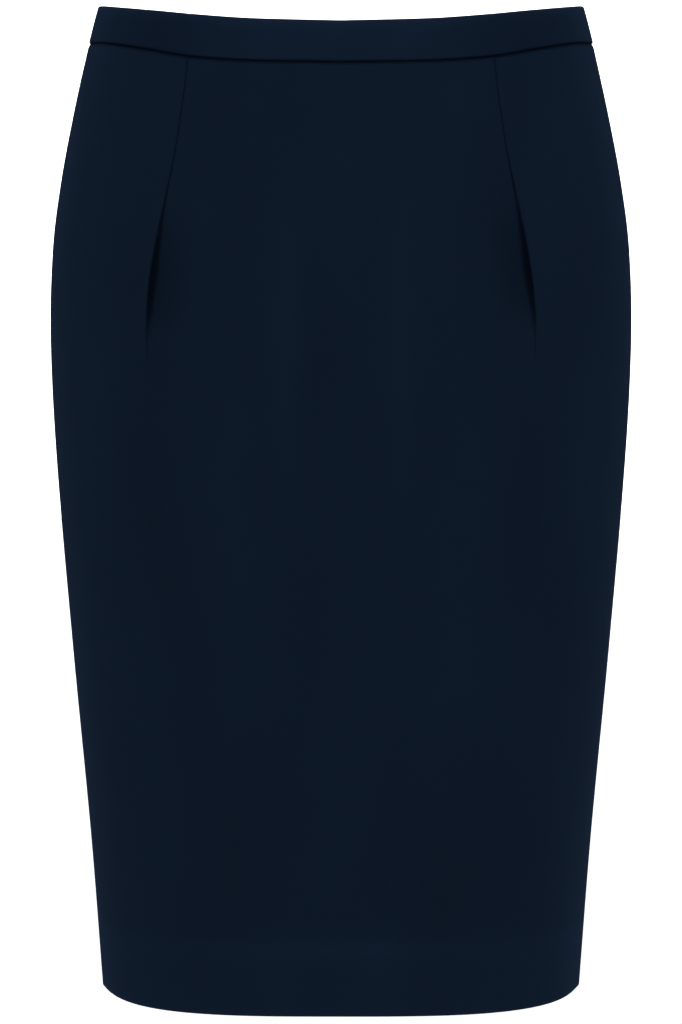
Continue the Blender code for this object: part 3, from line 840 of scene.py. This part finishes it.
def back_panel(finish, sign, name):
    """A back panel, from centre back to its side seam. The right one has the underlap."""
    rows = panel_rows()
    right = sign < 0
    across, degrees = [], []
    for level in rows[0]:
        turn, arc, x = arc_of(level, "back")
        edge = np.interp(zip_gap(level) / 2, x, arc)
        line = back_dart_line(level)
        first, last = edge + EDGE_STEPS[-1], line + BACK_NEAR[0]
        inward = np.linspace(first, last, BACK_CENTRE_COUNT)[1:-1]
        rest = arc[-1] - SIDE_SEAM_STEPS
        beyond = np.linspace(line + BACK_NEAR[-1], rest[0], BACK_SIDE_COUNT)[1:-1]
        row = [edge + EDGE_STEPS, inward, line + BACK_NEAR, beyond, rest]
        if right:
            row.insert(0, -UNDERLAP * UNDERLAP_PARTS[::-1])
        row = np.concatenate(row)
        across.append(row)
        degrees.append(np.sign(row + 1e-9) * np.interp(np.abs(row), arc, turn))
    across, degrees = np.array(across), np.array(degrees)
    level = np.broadcast_to(rows[0][:, None], across.shape)
    start = len(UNDERLAP_PARTS) if right else 0
    from_edge = across - across[:, start:start + 1]
    from_seam = across[:, -1:] - across
    line = np.array([back_dart_line(v) for v in rows[0]])[:, None]
    run = np.clip((WAIST_SEAM_LEVEL - level) / BACK_DART_LENGTH, 0.0, 1.0)
    ending = 1.0 - ease((run - BACK_GROOVE_ENDS) / 0.2)
    groove = GROOVE * bell(across - line, BACK_GROOVE_REACH) * ending
    pulled = PULLED_IN * bell(across - line, PULLED_REACH) * np.sin(np.pi * run)
    along_zip = ease((level - ZIP_END) / 6.0)
    in_vent = ease((VENT_TOP - level) / 1.5)
    more = ZIP_ROLL * along_zip
    edge_roll = seam_roll(from_edge, ROLL_DEPTH + more, ROLL_REACH + more)
    if right:
        edge_roll = edge_roll * (1.0 - in_vent) * (from_edge > -0.01)
    else:
        edge_roll = edge_roll * (1.0 + 0.5 * in_vent)
    lift = common_lift(sign * across, level, from_seam, BACK_CREASES, SEED + 1)
    lift = lift * ease(np.abs(from_edge) / EDGE_FADE)
    flare = 0.0
    if not right:
        open_down = ease((VENT_TOP - level) / VENT_LENGTH)
        flare = FLARE * in_vent * bell(from_edge, FLARE_REACH) * open_down
    sunk = vent_sunk(level, across) if right else 0.0
    tone, roll = top_and_hem(rows[0])
    hem = hem_marks(level, across, BACK_HEM) * ease(from_seam / HEM_FADE)
    roll = roll * beside_side(from_seam)
    shape = lift + hem - roll - seam_roll(from_seam) - groove - pulled - edge_roll + flare - sunk
    inner_shape = lift - sunk + flare - pulled - rows[2][:, None]
    low = panel_level(level, degrees)
    outer = off_face(low, degrees, "back", shape - rows[1][:, None]) * mirrored(sign)
    inner = off_face(low, degrees, "back", inner_shape) * mirrored(sign)
    inner = meeting(inner, [-1], "back")
    # Painted light and shade at the side seam, the centre back edge, the creases, the hem ridge,
    # the lower side seam and the dart's groove.
    tone = tone + seam_shade_and_shine(from_seam) + seam_shade_and_shine(np.abs(from_edge)) + crease_painted_shading(lift, hem)
    tone = tone + side_painted_sheen(level, from_seam)
    tone = tone - BACK_GROOVE_SHADE * groove / GROOVE
    grain = np.stack([sign * across, level, np.ones_like(across)], -1)
    present = None
    if right:
        cells = np.broadcast_to(rows[0][:-1, None] <= VENT_TOP + 0.01, (len(rows[0]) - 1, 1))
        present = np.ones((len(rows[0]) - 1, across.shape[1] - 1), bool)
        present[:, :start] = cells
    sewing = Sewing()
    sewing.shell(outer, inner, grain, tone, present)
    seam_allowance(sewing, "back", sign)
    back_insides(sewing, sign)
    return sewing.make(name, finish)


VENT_TURNED_IN = 38.0


def back_insides(sewing, sign):
    """The back dart's folded cloth, the centre seam's allowance and the vent's turned-in edge."""
    levels = np.linspace(BACK_INTAKE[0][0], BACK_INTAKE[-1][0], 45)
    line = np.array([back_dart_line(v) for v in levels])[:, None]
    width = curve(BACK_INTAKE, INTAKE_COLUMNS, "width", levels)[:, None]
    across = line - 0.3 - width * INTAKE_PARTS[None, :]
    patch(sewing, "back", sign, levels, across, WALL + LAYER_GAP + 0.5, 2 * LAYER)
    levels = np.linspace(WAIST_SEAM_LEVEL - BELOW_BAND - 10.0, VENT_TOP + 12.0, 80)
    start = zip_gap(levels)[:, None] / 2 + 0.15
    across = start + ALLOWANCE * ALLOWANCE_PARTS[None, :]
    patch(sewing, "back", sign, levels, across, WALL + 0.03, 0.4)
    if sign > 0:
        levels = np.linspace(VENT_TOP + 10.0, HEM_LEVEL + 2.5, 70)
        across = 0.5 + VENT_TURNED_IN * ALLOWANCE_PARTS[None, :] + np.zeros((70, 1))
        depth = np.where(levels > TURNED - 1.0, WALL + 0.03, HEM_WALL + 0.03)[:, None]
        patch(sewing, "back", sign, levels, across, depth, 0.25)


# The waistband's outer and inner layers, from the top edge down. Share is how far down
# between the top edge and the waist seam, extra is millimetres above that, and out is the
# distance out from the CAD's face.
BAND_COLUMNS = ("share", "outer_extra", "outer_out", "inner_extra", "inner_out")
BAND_ROWS = (
    (0, 0, -0.95, 0, -1.05),
    (0, -0.12, -0.55, -0.12, -1.45),
    (0, -0.42, -0.18, -0.42, -1.82),
    (0, -0.95, 0, -0.95, -2),
    (0, -1.80, 0.06, -1.80, -2.06),
    (0.14, 0, 0.12, 0, -2.08),
    (0.28, 0, 0.16, 0, -2.10),
    (0.42, 0, 0.18, 0, -2.10),
    (0.56, 0, 0.20, 0, -2.10),
    (0.70, 0, 0.22, 0, -2.12),
    (0.82, 0, 0.24, 0, -2.14),
    (1, 2.20, 0.26, 2.20, -2.16),
    (1, 1.30, 0.20, 0.60, -2.18),
    (1, 0.78, 0, -1, -2.20),
    (1, 0.50, -0.38, -2.60, -2.18),
    (1, 0.40, -0.90, -3.30, -2.02),
    (1, 0.36, -1.32, -3.45, -1.62),
)
BAND_MIDDLE = 8
# Painted light and shade around the waistband, by the angle from centre front or centre back.
BAND_TONE_COLUMNS = ("degrees", "tone")
BAND_PAINTED_SHADING = (
    (0, 0.16),
    (22, 0.12),
    (38, -0.08),
    (52, -0.10),
    (70, 0),
    (120, 0.04),
    (180, 0.10),
)
# A painted highlight along the waistband's top edge and painted shade along its seam, with their
# reaches.
BAND_TOP_HIGHLIGHT, BAND_TOP_HIGHLIGHT_REACH = 0.38, 3.2
BAND_SEAM_SHADE, BAND_SEAM_SHADE_REACH = 0.6, 0.9
BAND_END_ROLL = (0.5, 0.9)
BAND_RADIUS = 150.0


def band(name, finish, half, angles):
    """A stretch of the waistband: folded double, soft-edged and slightly full."""
    distance = np.abs(angles[:, None] - angles[None, [0, -1]]).min(1)
    ends = np.radians(distance) * BAND_RADIUS
    from_side = np.radians(np.abs(np.abs(angles) - 90.0)) * BAND_RADIUS
    top = TOP_LEVEL - dip_at(angles, "top")
    low = WAIST_SEAM_LEVEL - dip_at(angles, "seam") + SEAM_GAP / 2
    layers = {"outer": [], "inner": []}
    for layer, rows in layers.items():
        for row in BAND_ROWS:
            c = dict(zip(BAND_COLUMNS, row))
            share, out = c["share"], c[f"{layer}_out"]
            level = top + (low - top) * share + c[f"{layer}_extra"]
            ripple = 0.10 * np.sin(angles * 0.31 + 1.0) + 0.08 * np.sin(angles * 0.83 + share * 2.0)
            roll = seam_roll(ends, *BAND_END_ROLL) if layer == "outer" else 0.0
            if share == 1.0 and layer == "outer":
                out = out * np.where(out < 0, beside_side(from_side), 1.0)
            out = out + ripple * ease(ends / 12.0) - roll
            rows.append(off_face(level, angles, half, out))
    outer, inner = np.array(layers["outer"]), np.array(layers["inner"])
    at_side = np.flatnonzero(np.abs(np.abs(angles[[0, -1]]) - 90.0) < 0.01)
    inner = meeting(inner, [[0, -1][k] for k in at_side], half)
    step = np.linalg.norm(np.diff(outer[BAND_MIDDLE], axis=0), axis=1)
    along = np.concatenate([[0.0], np.cumsum(step)])
    height = outer[..., 2]
    grain = np.stack([
        np.broadcast_to(along, height.shape), height, np.full(height.shape, 2.0)
    ], -1)
    # Painted highlight at the top edge, painted shade at the seam, painted light and shade around
    # the band, and painted shade and highlight at the ends.
    tone = BAND_TOP_HIGHLIGHT * bell(height[:1] - height, BAND_TOP_HIGHLIGHT_REACH)
    tone = tone - BAND_SEAM_SHADE * bell(height - height[-1:], BAND_SEAM_SHADE_REACH)
    tone = tone + curve(BAND_PAINTED_SHADING, BAND_TONE_COLUMNS, "tone", np.abs(angles))[None, :]
    sewing = Sewing()
    sewing.shell(outer, inner, grain, tone + seam_shade_and_shine(ends)[None, :])
    return sewing.make(name, finish)


def band_angles(first, last):
    """Angles about a degree apart, closer at both ends."""
    close = np.array([0.0, 0.1, 0.25, 0.5, 0.9, 1.5])
    middle = np.linspace(first + 2.6, last - 2.6, int(abs(last - first) / 1.3))
    return np.concatenate([first + close, middle, (last - close)[::-1]])


SLIDER_BELOW_TOP = 6.5
SLIDER_HALF = 5.0
PLATE_HALF = 3.1
TAPE_BELOW_TOP = 10.0
TAPE_PARTS = np.array([0.0, 0.04, 0.2, 0.45, 0.7, 0.93, 0.98, 1.0])
TAPE_RIB, TAPE_RIB_PITCH = 0.05, 1.5
COIL_PITCH = 1.15
COIL_WIDE = 0.95
COIL_HIGH = 0.5
COIL_WIRE = 0.24
STOP_WIRE = 0.75


def tape_depth(level):
    """How far the zip tape lies inside the cloth's face: further behind the waistband."""
    below = ease((WAIST_SEAM_LEVEL - 12.0 - level) / 14.0)
    return BAND_WALL + TAPE_CLEARANCE + (WALL - BAND_WALL) * below


def behind_zip(levels, depth):
    """Points at centre back, inside the cloth's face by a depth."""
    return off_face(levels, np.full(len(levels), 180.0), "back", -depth)


def zip_side(name, sign, finish):
    """One zip tape with its nylon coil and the stop at the coil's lower end."""
    top = TOP_LEVEL - TAPE_BELOW_TOP
    notch = top - SLIDER_BELOW_TOP - SLIDER_HALF - 1.0
    end = ZIP_END - TAPE_BELOW_ZIP
    levels = np.concatenate([
        np.linspace(top - 1.5, notch + 1.0, 12), np.linspace(notch, end, 110)
    ])
    start = np.where(levels > notch + 0.5, PLATE_HALF + 0.6, 0.18)[:, None]
    across = start + (TAPE_WIDTH - start) * TAPE_PARTS[None, :]
    degrees = []
    for level, row in zip(levels, across):
        turn = np.linspace(180.0, 168.0, 121)
        point, _ = section(level, turn, "back")
        degrees.append(np.interp(row, point[:, 0], turn))
    degrees = np.array(degrees)
    level = np.broadcast_to(levels[:, None], across.shape)
    depth = tape_depth(level)
    soft = np.ones(len(TAPE_PARTS))
    soft[[0, -1]] = RIM
    rib = TAPE_RIB * np.cos(across * 2 * np.pi / TAPE_RIB_PITCH)
    outer = off_face(level, degrees, "back", -(depth + TAPE_WALL * (1 - soft) / 2))
    inner = off_face(level, degrees, "back", -(depth + TAPE_WALL * (1 + soft) / 2 + rib))
    grain = np.stack([sign * across, level, np.full_like(across, 3.0)], -1)
    sewing = Sewing()
    sewing.shell(outer * mirrored(sign), inner * mirrored(sign), grain)
    coil_levels = np.arange(notch - 0.5, ZIP_END + 4.0, -COIL_PITCH / 8)
    turn = np.arange(len(coil_levels)) * 2 * np.pi / 8 + (np.pi if sign < 0 else 0.0)
    depth = tape_depth(coil_levels) + TAPE_WALL + COIL_HIGH + 0.05
    path = behind_zip(coil_levels, depth + COIL_HIGH * np.cos(turn))
    path[:, 0] = sign * (COIL_WIDE * 0.82 + COIL_WIDE * np.sin(turn))
    sewing.tube(path, COIL_WIRE, sides=5)
    stop = np.linspace(ZIP_END + 4.5, ZIP_END + 1.0, 6)
    path = behind_zip(stop, tape_depth(stop) + TAPE_WALL + 0.6)
    path[:, 0] = sign * 0.9
    sewing.tube(path, STOP_WIRE, sides=8)
    return sewing.make(name, finish)


def softened(name, node, finish, body, width):
    """A copy of a hard CAD piece with its edges rounded."""
    mesh = bmesh.new()
    mesh.from_mesh(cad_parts[node].data)
    bmesh.ops.remove_doubles(mesh, verts=mesh.verts, dist=1e-5)
    bmesh.ops.dissolve_limit(
        mesh, angle_limit=math.radians(2.0), verts=mesh.verts, edges=mesh.edges
    )
    edges = [e for e in mesh.edges if e.is_manifold and e.calc_face_angle(0.0) > math.radians(25)]
    bmesh.ops.bevel(
        mesh, geom=edges, offset=width * MM, segments=3, profile=0.5, affect="EDGES",
        clamp_overlap=True,
    )
    bmesh.ops.triangulate(mesh, faces=[f for f in mesh.faces if len(f.verts) > 4])
    bmesh.ops.recalc_face_normals(mesh, faces=mesh.faces)
    data = bpy.data.meshes.new(name)
    mesh.to_mesh(data)
    mesh.free()
    made = finished(name, data, finish, body, METAL_SHARP)
    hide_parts(node)


THREAD = 0.16
STITCH = 2.6
STITCH_IN = 3.8


def overlock(sewing, half, sign, high, low, edge, inward, depth):
    """Thread along a raw edge: a zigzag over it and a straight line beside it."""
    count = int((high - low) / STITCH) * 2
    levels = np.linspace(high, low, count)
    far = np.arange(count) % 2
    line = edge(levels)
    zigzag = place(half, sign, levels, line + inward * STITCH_IN * far, -(depth(levels) + 0.1))
    sewing.tube(zigzag, THREAD, sides=4)
    straight = place(
        half, sign, levels[::2], line[::2] + inward * STITCH_IN * 0.9, -(depth(levels[::2]) + 0.2)
    )
    sewing.tube(straight, THREAD, sides=4)


def panel_threads(name, half, signs, finish):
    """The overlocked edges inside a panel: seam allowances and the turned-up hem."""
    sewing = Sewing()
    for sign in signs:
        def edge(levels):
            return seam_length(half, levels) - ALLOWANCE

        overlock(
            sewing, half, sign, WAIST_SEAM_LEVEL - 6.0, TURNED + 3.0, edge, 1.0,
            lambda levels: np.full(len(levels), WALL + LAYER_GAP + LAYER + 0.35),
        )
        hem_edge(sewing, half, sign)
        if half == "back":
            overlock(
                sewing, half, sign, ZIP_END - 17.0, VENT_TOP + 13.0,
                lambda levels: np.full(len(levels), ALLOWANCE), -1.0,
                lambda levels: np.full(len(levels), WALL + 0.45),
            )
    return sewing.make(name, finish)


def hem_edge(sewing, half, sign):
    """The overlocked upper edge of the turned-up hem."""
    _, arc, _ = arc_of(TURNED, half)
    first = 0.4 if half == "front" else 1.0
    if half == "back" and sign > 0:
        first = VENT_TURNED_IN + 2.0
    count = int((arc[-1] - 0.8 - first) / STITCH) * 2
    across = np.linspace(first, arc[-1] - 0.8, count)
    down = (np.arange(count) % 2) * STITCH_IN
    path = place(half, sign, TURNED - 0.1 - down, across, -(HEM_WALL + 0.08))
    sewing.tube(path, THREAD, sides=4)
    path = place(half, sign, np.full(count // 2, TURNED - 3.4), across[::2], -(HEM_WALL + 0.2))
    sewing.tube(path, THREAD, sides=4)


VENT_STITCHES = 13
VENT_STITCH_LINE = (1.2, 32.0)
VENT_STITCH_DROP = (2.0, 14.0)
VENT_THREAD = 0.2


def vent_stitches(finish):
    """The slanting stitches that hold the vent's top, seen outside on the left back panel."""
    sewing = Sewing()
    bent = np.array([-0.25, 0.05, 0.1, 0.05, -0.25])
    for k in range(VENT_STITCHES):
        start, end = (k + 0.12) / VENT_STITCHES, (k + 0.82) / VENT_STITCHES
        part = start + (end - start) * np.array([0.0, 0.15, 0.5, 0.85, 1.0])
        level = VENT_TOP - VENT_STITCH_DROP[0] - VENT_STITCH_DROP[1] * part
        across = VENT_STITCH_LINE[0] + VENT_STITCH_LINE[1] * part
        sewing.tube(place("back", 1, level, across, bent), VENT_THREAD, sides=6)
    return sewing.make("vent_stitches", finish)


class Nodes:
    """A material's nodes, with short calls for the kinds used here."""

    def __init__(self, name):
        self.material = bpy.data.materials.new(name)
        self.material.use_nodes = True
        self.tree = self.material.node_tree
        self.shader = self.tree.nodes["Principled BSDF"]

    def fill(self, node, inputs):
        """Each input of a node: another node's output is linked, anything else is set."""
        for key, value in inputs.items():
            if isinstance(value, bpy.types.NodeSocket):
                self.tree.links.new(value, node.inputs[key])
            else:
                node.inputs[key].default_value = value
        return node

    def new(self, kind, inputs, **settings):
        node = self.tree.nodes.new(f"ShaderNode{kind}")
        for key, value in settings.items():
            setattr(node, key, value)
        return self.fill(node, inputs)

    def maths(self, operation, *values):
        return self.new("Math", dict(enumerate(values)), operation=operation).outputs[0]

    def sine(self, source, factor):
        return self.maths("SINE", self.maths("MULTIPLY", source, factor))

    def weighted(self, *terms, plus=None):
        """Outputs added up, each times the share given with it, and a number added at the end."""
        total = None
        for source, share in terms:
            part = self.maths("MULTIPLY", source, share)
            total = part if total is None else self.maths("ADD", total, part)
        return total if plus is None else self.maths("ADD", total, plus)

    def noise(self, vector, scale, detail, rough):
        inputs = {"Vector": vector, "Scale": scale, "Detail": detail, "Roughness": rough}
        return self.new("TexNoise", inputs).outputs["Fac"]

    def stretched(self, vector, scale):
        """A vector with each of its parts scaled."""
        return self.new("Mapping", {"Vector": vector, "Scale": scale}).outputs["Vector"]

    def ramp(self, source, *stops):
        """Source turned into colours between two stops of (position, colour)."""
        node = self.new("ValToRGB", {"Fac": source})
        for element, (position, colour) in zip(node.color_ramp.elements, stops):
            element.position = position
            element.color = (*colour, 1.0)
        return node.outputs["Color"]

    def mixed(self, how, share, one, two):
        """Two colours mixed, by the Mix node's sockets for colours."""
        inputs = {"Factor": share, 6: one, 7: two}
        return self.new("Mix", inputs, data_type="RGBA", blend_type=how).outputs[2]

    def attribute(self, name, output):
        return self.new("Attribute", {}, attribute_name=name).outputs[output]


def scaled(colour, factor):
    return tuple(c * factor for c in colour)


NAVY = (0.0014, 0.00335, 0.0076)
NAVY_LIGHT = (0.0030, 0.0061, 0.0125)
SHEEN_NAVY = (0.35, 0.50, 0.85, 1.0)
WEAVE_RELIEF = 0.00012


def woven(name, dark, light, pitch, rough, bump, sheen, specular):
    """A twill: slanting ribs of yarn, slightly uneven in colour, with the painted light and shade
    that the mesh carries.
    """
    n = Nodes(name)
    grain = n.attribute("cloth_grain", "Vector")
    parts = n.new("SeparateXYZ", {0: grain}).outputs
    across, up = parts[0], parts[1]
    turn = 2.0 * math.pi / pitch
    rib = n.sine(n.maths("ADD", across, up), turn * 0.5)
    yarn = n.maths("MULTIPLY", n.sine(across, turn), n.sine(up, turn))
    height = n.weighted((n.weighted((rib, 0.62), (yarn, 0.38)), 0.5), plus=0.5)
    fibre = n.noise(grain, 1.7, 3.0, 0.65)
    slow = n.noise(n.stretched(grain, (1.0, 0.3, 1.0)), 0.022, 3.0, 0.55)
    streak = n.noise(n.stretched(grain, (1.1, 0.06, 1.0)), 0.9, 2.0, 0.5)
    tone = n.weighted((height, 0.45), (fibre, 0.30), (streak, 0.25))
    colour = n.ramp(tone, (0.18, dark), (0.82, light))
    shade = n.ramp(slow, (0.30, (0.95, 0.95, 0.955)), (0.70, (1.05, 1.05, 1.045)))
    colour = n.mixed("MULTIPLY", 1.0, colour, shade)
    # Painted light and shade from the mesh, varied a little with the fibre noise, scales the
    # colour.
    painted_shading = n.maths("MULTIPLY", n.attribute("cloth_painted_light_and_shade", "Fac"), n.maths("ADD", fibre, 0.5))
    toned = n.new("VectorMath", {}, operation="SCALE")
    n.fill(toned, {0: colour, "Scale": n.maths("ADD", painted_shading, 1.0)})
    relief = n.new("Bump", {
        "Strength": bump, "Distance": WEAVE_RELIEF,
        "Height": n.weighted((height, 0.7), (fibre, 0.6)),
    })
    n.fill(n.shader, {
        "Base Color": toned.outputs[0],
        "Roughness": n.weighted((fibre, 0.12), plus=rough - 0.06),
        "Normal": relief.outputs["Normal"],
        "Sheen Weight": sheen,
        "Sheen Roughness": 0.45,
        "Sheen Tint": SHEEN_NAVY,
        "IOR": 1.22,
        "Specular IOR Level": specular,
    })
    return n.material


ENAMEL_DARK = (0.0026, 0.0050, 0.0110)
ENAMEL_LIGHT = (0.0042, 0.0078, 0.0165)
ENAMEL_SPECK = (0.009, 0.012, 0.019, 1.0)


def enamel(name):
    """Navy enamel on a zip's metal parts, with a few paler specks."""
    n = Nodes(name)
    where = n.new("TexCoord", {}).outputs["Object"]
    fine = n.noise(where, 900.0, 4.0, 0.6)
    slow = n.noise(where, 160.0, 2.0, 0.5)
    colour = n.ramp(slow, (0.3, ENAMEL_DARK), (0.7, ENAMEL_LIGHT))
    specks = n.ramp(fine, (0.68, (0, 0, 0)), (0.74, (1, 1, 1)))
    n.fill(n.shader, {
        "Base Color": n.mixed("MIX", specks, colour, ENAMEL_SPECK),
        "Roughness": n.weighted((fine, 0.2), plus=0.38),
        "IOR": 1.33,
        "Specular IOR Level": 0.15,
    })
    return n.material


# The stage and its lights, in metres, degrees and watts.
STAGE_FLOOR, STAGE_RADIUS, STAGE_BEND, STAGE_HIGH = -1.05, 14.0, 3.0, 12.0
STAGE_SIDES, STAGE_STEPS = 96, 12
MIDDLE = (0.0, 0.0, -0.28)
PAIRED_LIGHTS = (
    ("front", (2.7, -1.9, 0.9), MIDDLE, (1.3, 1.9), 50.0),
    ("rear", (2.4, 2.3, 1.0), MIDDLE, (1.4, 1.9), 30.0),
    ("backdrop", (2.8, 2.4, 2.6), (0.6, 4.6, STAGE_FLOOR), (2.5, 2.5), 200.0),
)
TOP_LIGHT = ("top", (0.0, -1.2, 3.0), MIDDLE, (2.0, 2.0), 24.0)
WORLD_STRENGTH = 0.5
CAMERA_AT = (0.0, -3.0, -0.094)
CAMERA_TURN = 90.0 - 3.85
CAMERA_LENS = 254.2


def stage_surface():
    """A floor that curves up into a backdrop all round, so any view has the same ground."""
    inner = STAGE_RADIUS - STAGE_BEND
    profile = [(inner, STAGE_FLOOR)]
    for k in range(1, STAGE_STEPS + 1):
        turn = math.pi / 2 * k / STAGE_STEPS
        rise = STAGE_BEND * (1 - math.cos(turn))
        profile.append((inner + STAGE_BEND * math.sin(turn), STAGE_FLOOR + rise))
    profile.append((STAGE_RADIUS, STAGE_HIGH))
    mesh = bmesh.new()
    rings = []
    for reach, level in profile:
        rings.append([
            mesh.verts.new((reach * math.cos(a), reach * math.sin(a), level))
            for a in (2 * math.pi * k / STAGE_SIDES for k in range(STAGE_SIDES))
        ])
    mesh.faces.new(rings[0])
    for low, up in zip(rings, rings[1:]):
        for k in range(STAGE_SIDES):
            j = (k + 1) % STAGE_SIDES
            mesh.faces.new((low[k], low[j], up[j], up[k]))
    data = bpy.data.meshes.new("stage_floor")
    mesh.to_mesh(data)
    mesh.free()
    data.shade_smooth()
    paper = Nodes("stage_paper")
    paper.fill(paper.shader, {
        "Base Color": (0.82, 0.82, 0.82, 1.0),
        "Roughness": 0.9,
        "Specular IOR Level": 0.1,
        "Emission Color": (1.0, 1.0, 1.0, 1.0),
        "Emission Strength": 1.0,
    })
    data.materials.append(paper.material)
    made = bpy.data.objects.new("stage_floor", data)
    bpy.context.scene.collection.objects.link(made)


def area_light(name, place_at, aim, size, watts):
    data = bpy.data.lights.new(name, "AREA")
    data.shape = "RECTANGLE"
    data.size, data.size_y = size
    data.energy = watts
    made = bpy.data.objects.new(name, data)
    made.location = place_at
    made.rotation_euler = (Vector(aim) - Vector(place_at)).to_track_quat("-Z", "Y").to_euler()
    made.visible_camera = False
    bpy.context.scene.collection.objects.link(made)


def studio():
    world = bpy.data.worlds.new("studio")
    bpy.context.scene.world = world
    world.use_nodes = True
    back = world.node_tree.nodes["Background"]
    back.inputs["Color"].default_value = (1.0, 1.0, 1.0, 1.0)
    back.inputs["Strength"].default_value = WORLD_STRENGTH
    stage_surface()
    for side in (-1, 1):
        for name, (x, y, z), (aim_x, aim_y, aim_z), size, watts in PAIRED_LIGHTS:
            place_at, aim = (side * x, y, z), (side * aim_x, aim_y, aim_z)
            area_light(f"{name}_{side}", place_at, aim, size, watts)
    area_light(*TOP_LIGHT)
    view = bpy.context.scene.view_settings
    view.view_transform = "Standard"
    view.look = "None"


def camera():
    data = bpy.data.cameras.new("camera")
    data.sensor_fit = "HORIZONTAL"
    data.sensor_width = 36.0
    data.lens = CAMERA_LENS
    data.clip_start = 0.05
    data.clip_end = 60.0
    made = bpy.data.objects.new("camera", data)
    made.location = CAMERA_AT
    made.rotation_euler = (math.radians(CAMERA_TURN), 0.0, 0.0)
    bpy.context.scene.collection.objects.link(made)
    bpy.context.scene.camera = made


camera()
studio()
TAPE_COLOURS = scaled(NAVY, 0.9), scaled(NAVY_LIGHT, 0.9)
cloth = woven("suiting", NAVY, NAVY_LIGHT, 0.62, 0.80, 0.35, 0.009, 0.0)
tape = woven("zip_tape_weave", *TAPE_COLOURS, 0.5, 0.7, 0.4, 0.012, 0.02)
thread = woven("thread", NAVY, scaled(NAVY_LIGHT, 1.2), 0.3, 0.6, 0.3, 0.012, 0.02)
metal = enamel("zip_enamel")

front = front_panel(cloth)
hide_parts("front_panel")
back_left = back_panel(cloth, 1, "back_panel_left_cloth")
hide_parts("back_panel_left")
back_right = back_panel(cloth, -1, "back_panel_right_cloth")
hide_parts("back_panel_right")

zip_edge = 180.0 - math.degrees(ZIP_GAP / 2 / BAND_RADIUS) * 0.9
band_front = band("waistband_front_cloth", cloth, "front", band_angles(-90.0, 90.0))
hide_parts("waistband_front")
band_left = band("waistband_back_left_cloth", cloth, "back", band_angles(90.0, zip_edge))
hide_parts("waistband_back_left")
band_right = band(
    "waistband_back_right_cloth", cloth, "back", -band_angles(90.0, zip_edge)[::-1]
)
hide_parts("waistband_back_right")

tape_left = zip_side("zip_tape_left_woven", 1, tape)
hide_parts("zip_tape_left")
tape_right = zip_side("zip_tape_right_woven", -1, tape)
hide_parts("zip_tape_right")
softened("zip_slider_enamel", "zip_slider", metal, "skirt", 0.25)
softened("zip_pull_tab_enamel", "zip_pull_tab", metal, "pull_tab", 0.22)

front_threads = panel_threads("front_panel_threads", "front", (1, -1), thread)
left_threads = panel_threads("back_left_threads", "back", (1,), thread)
right_threads = panel_threads("back_right_threads", "back", (-1,), thread)
vent_threads = vent_stitches(thread)
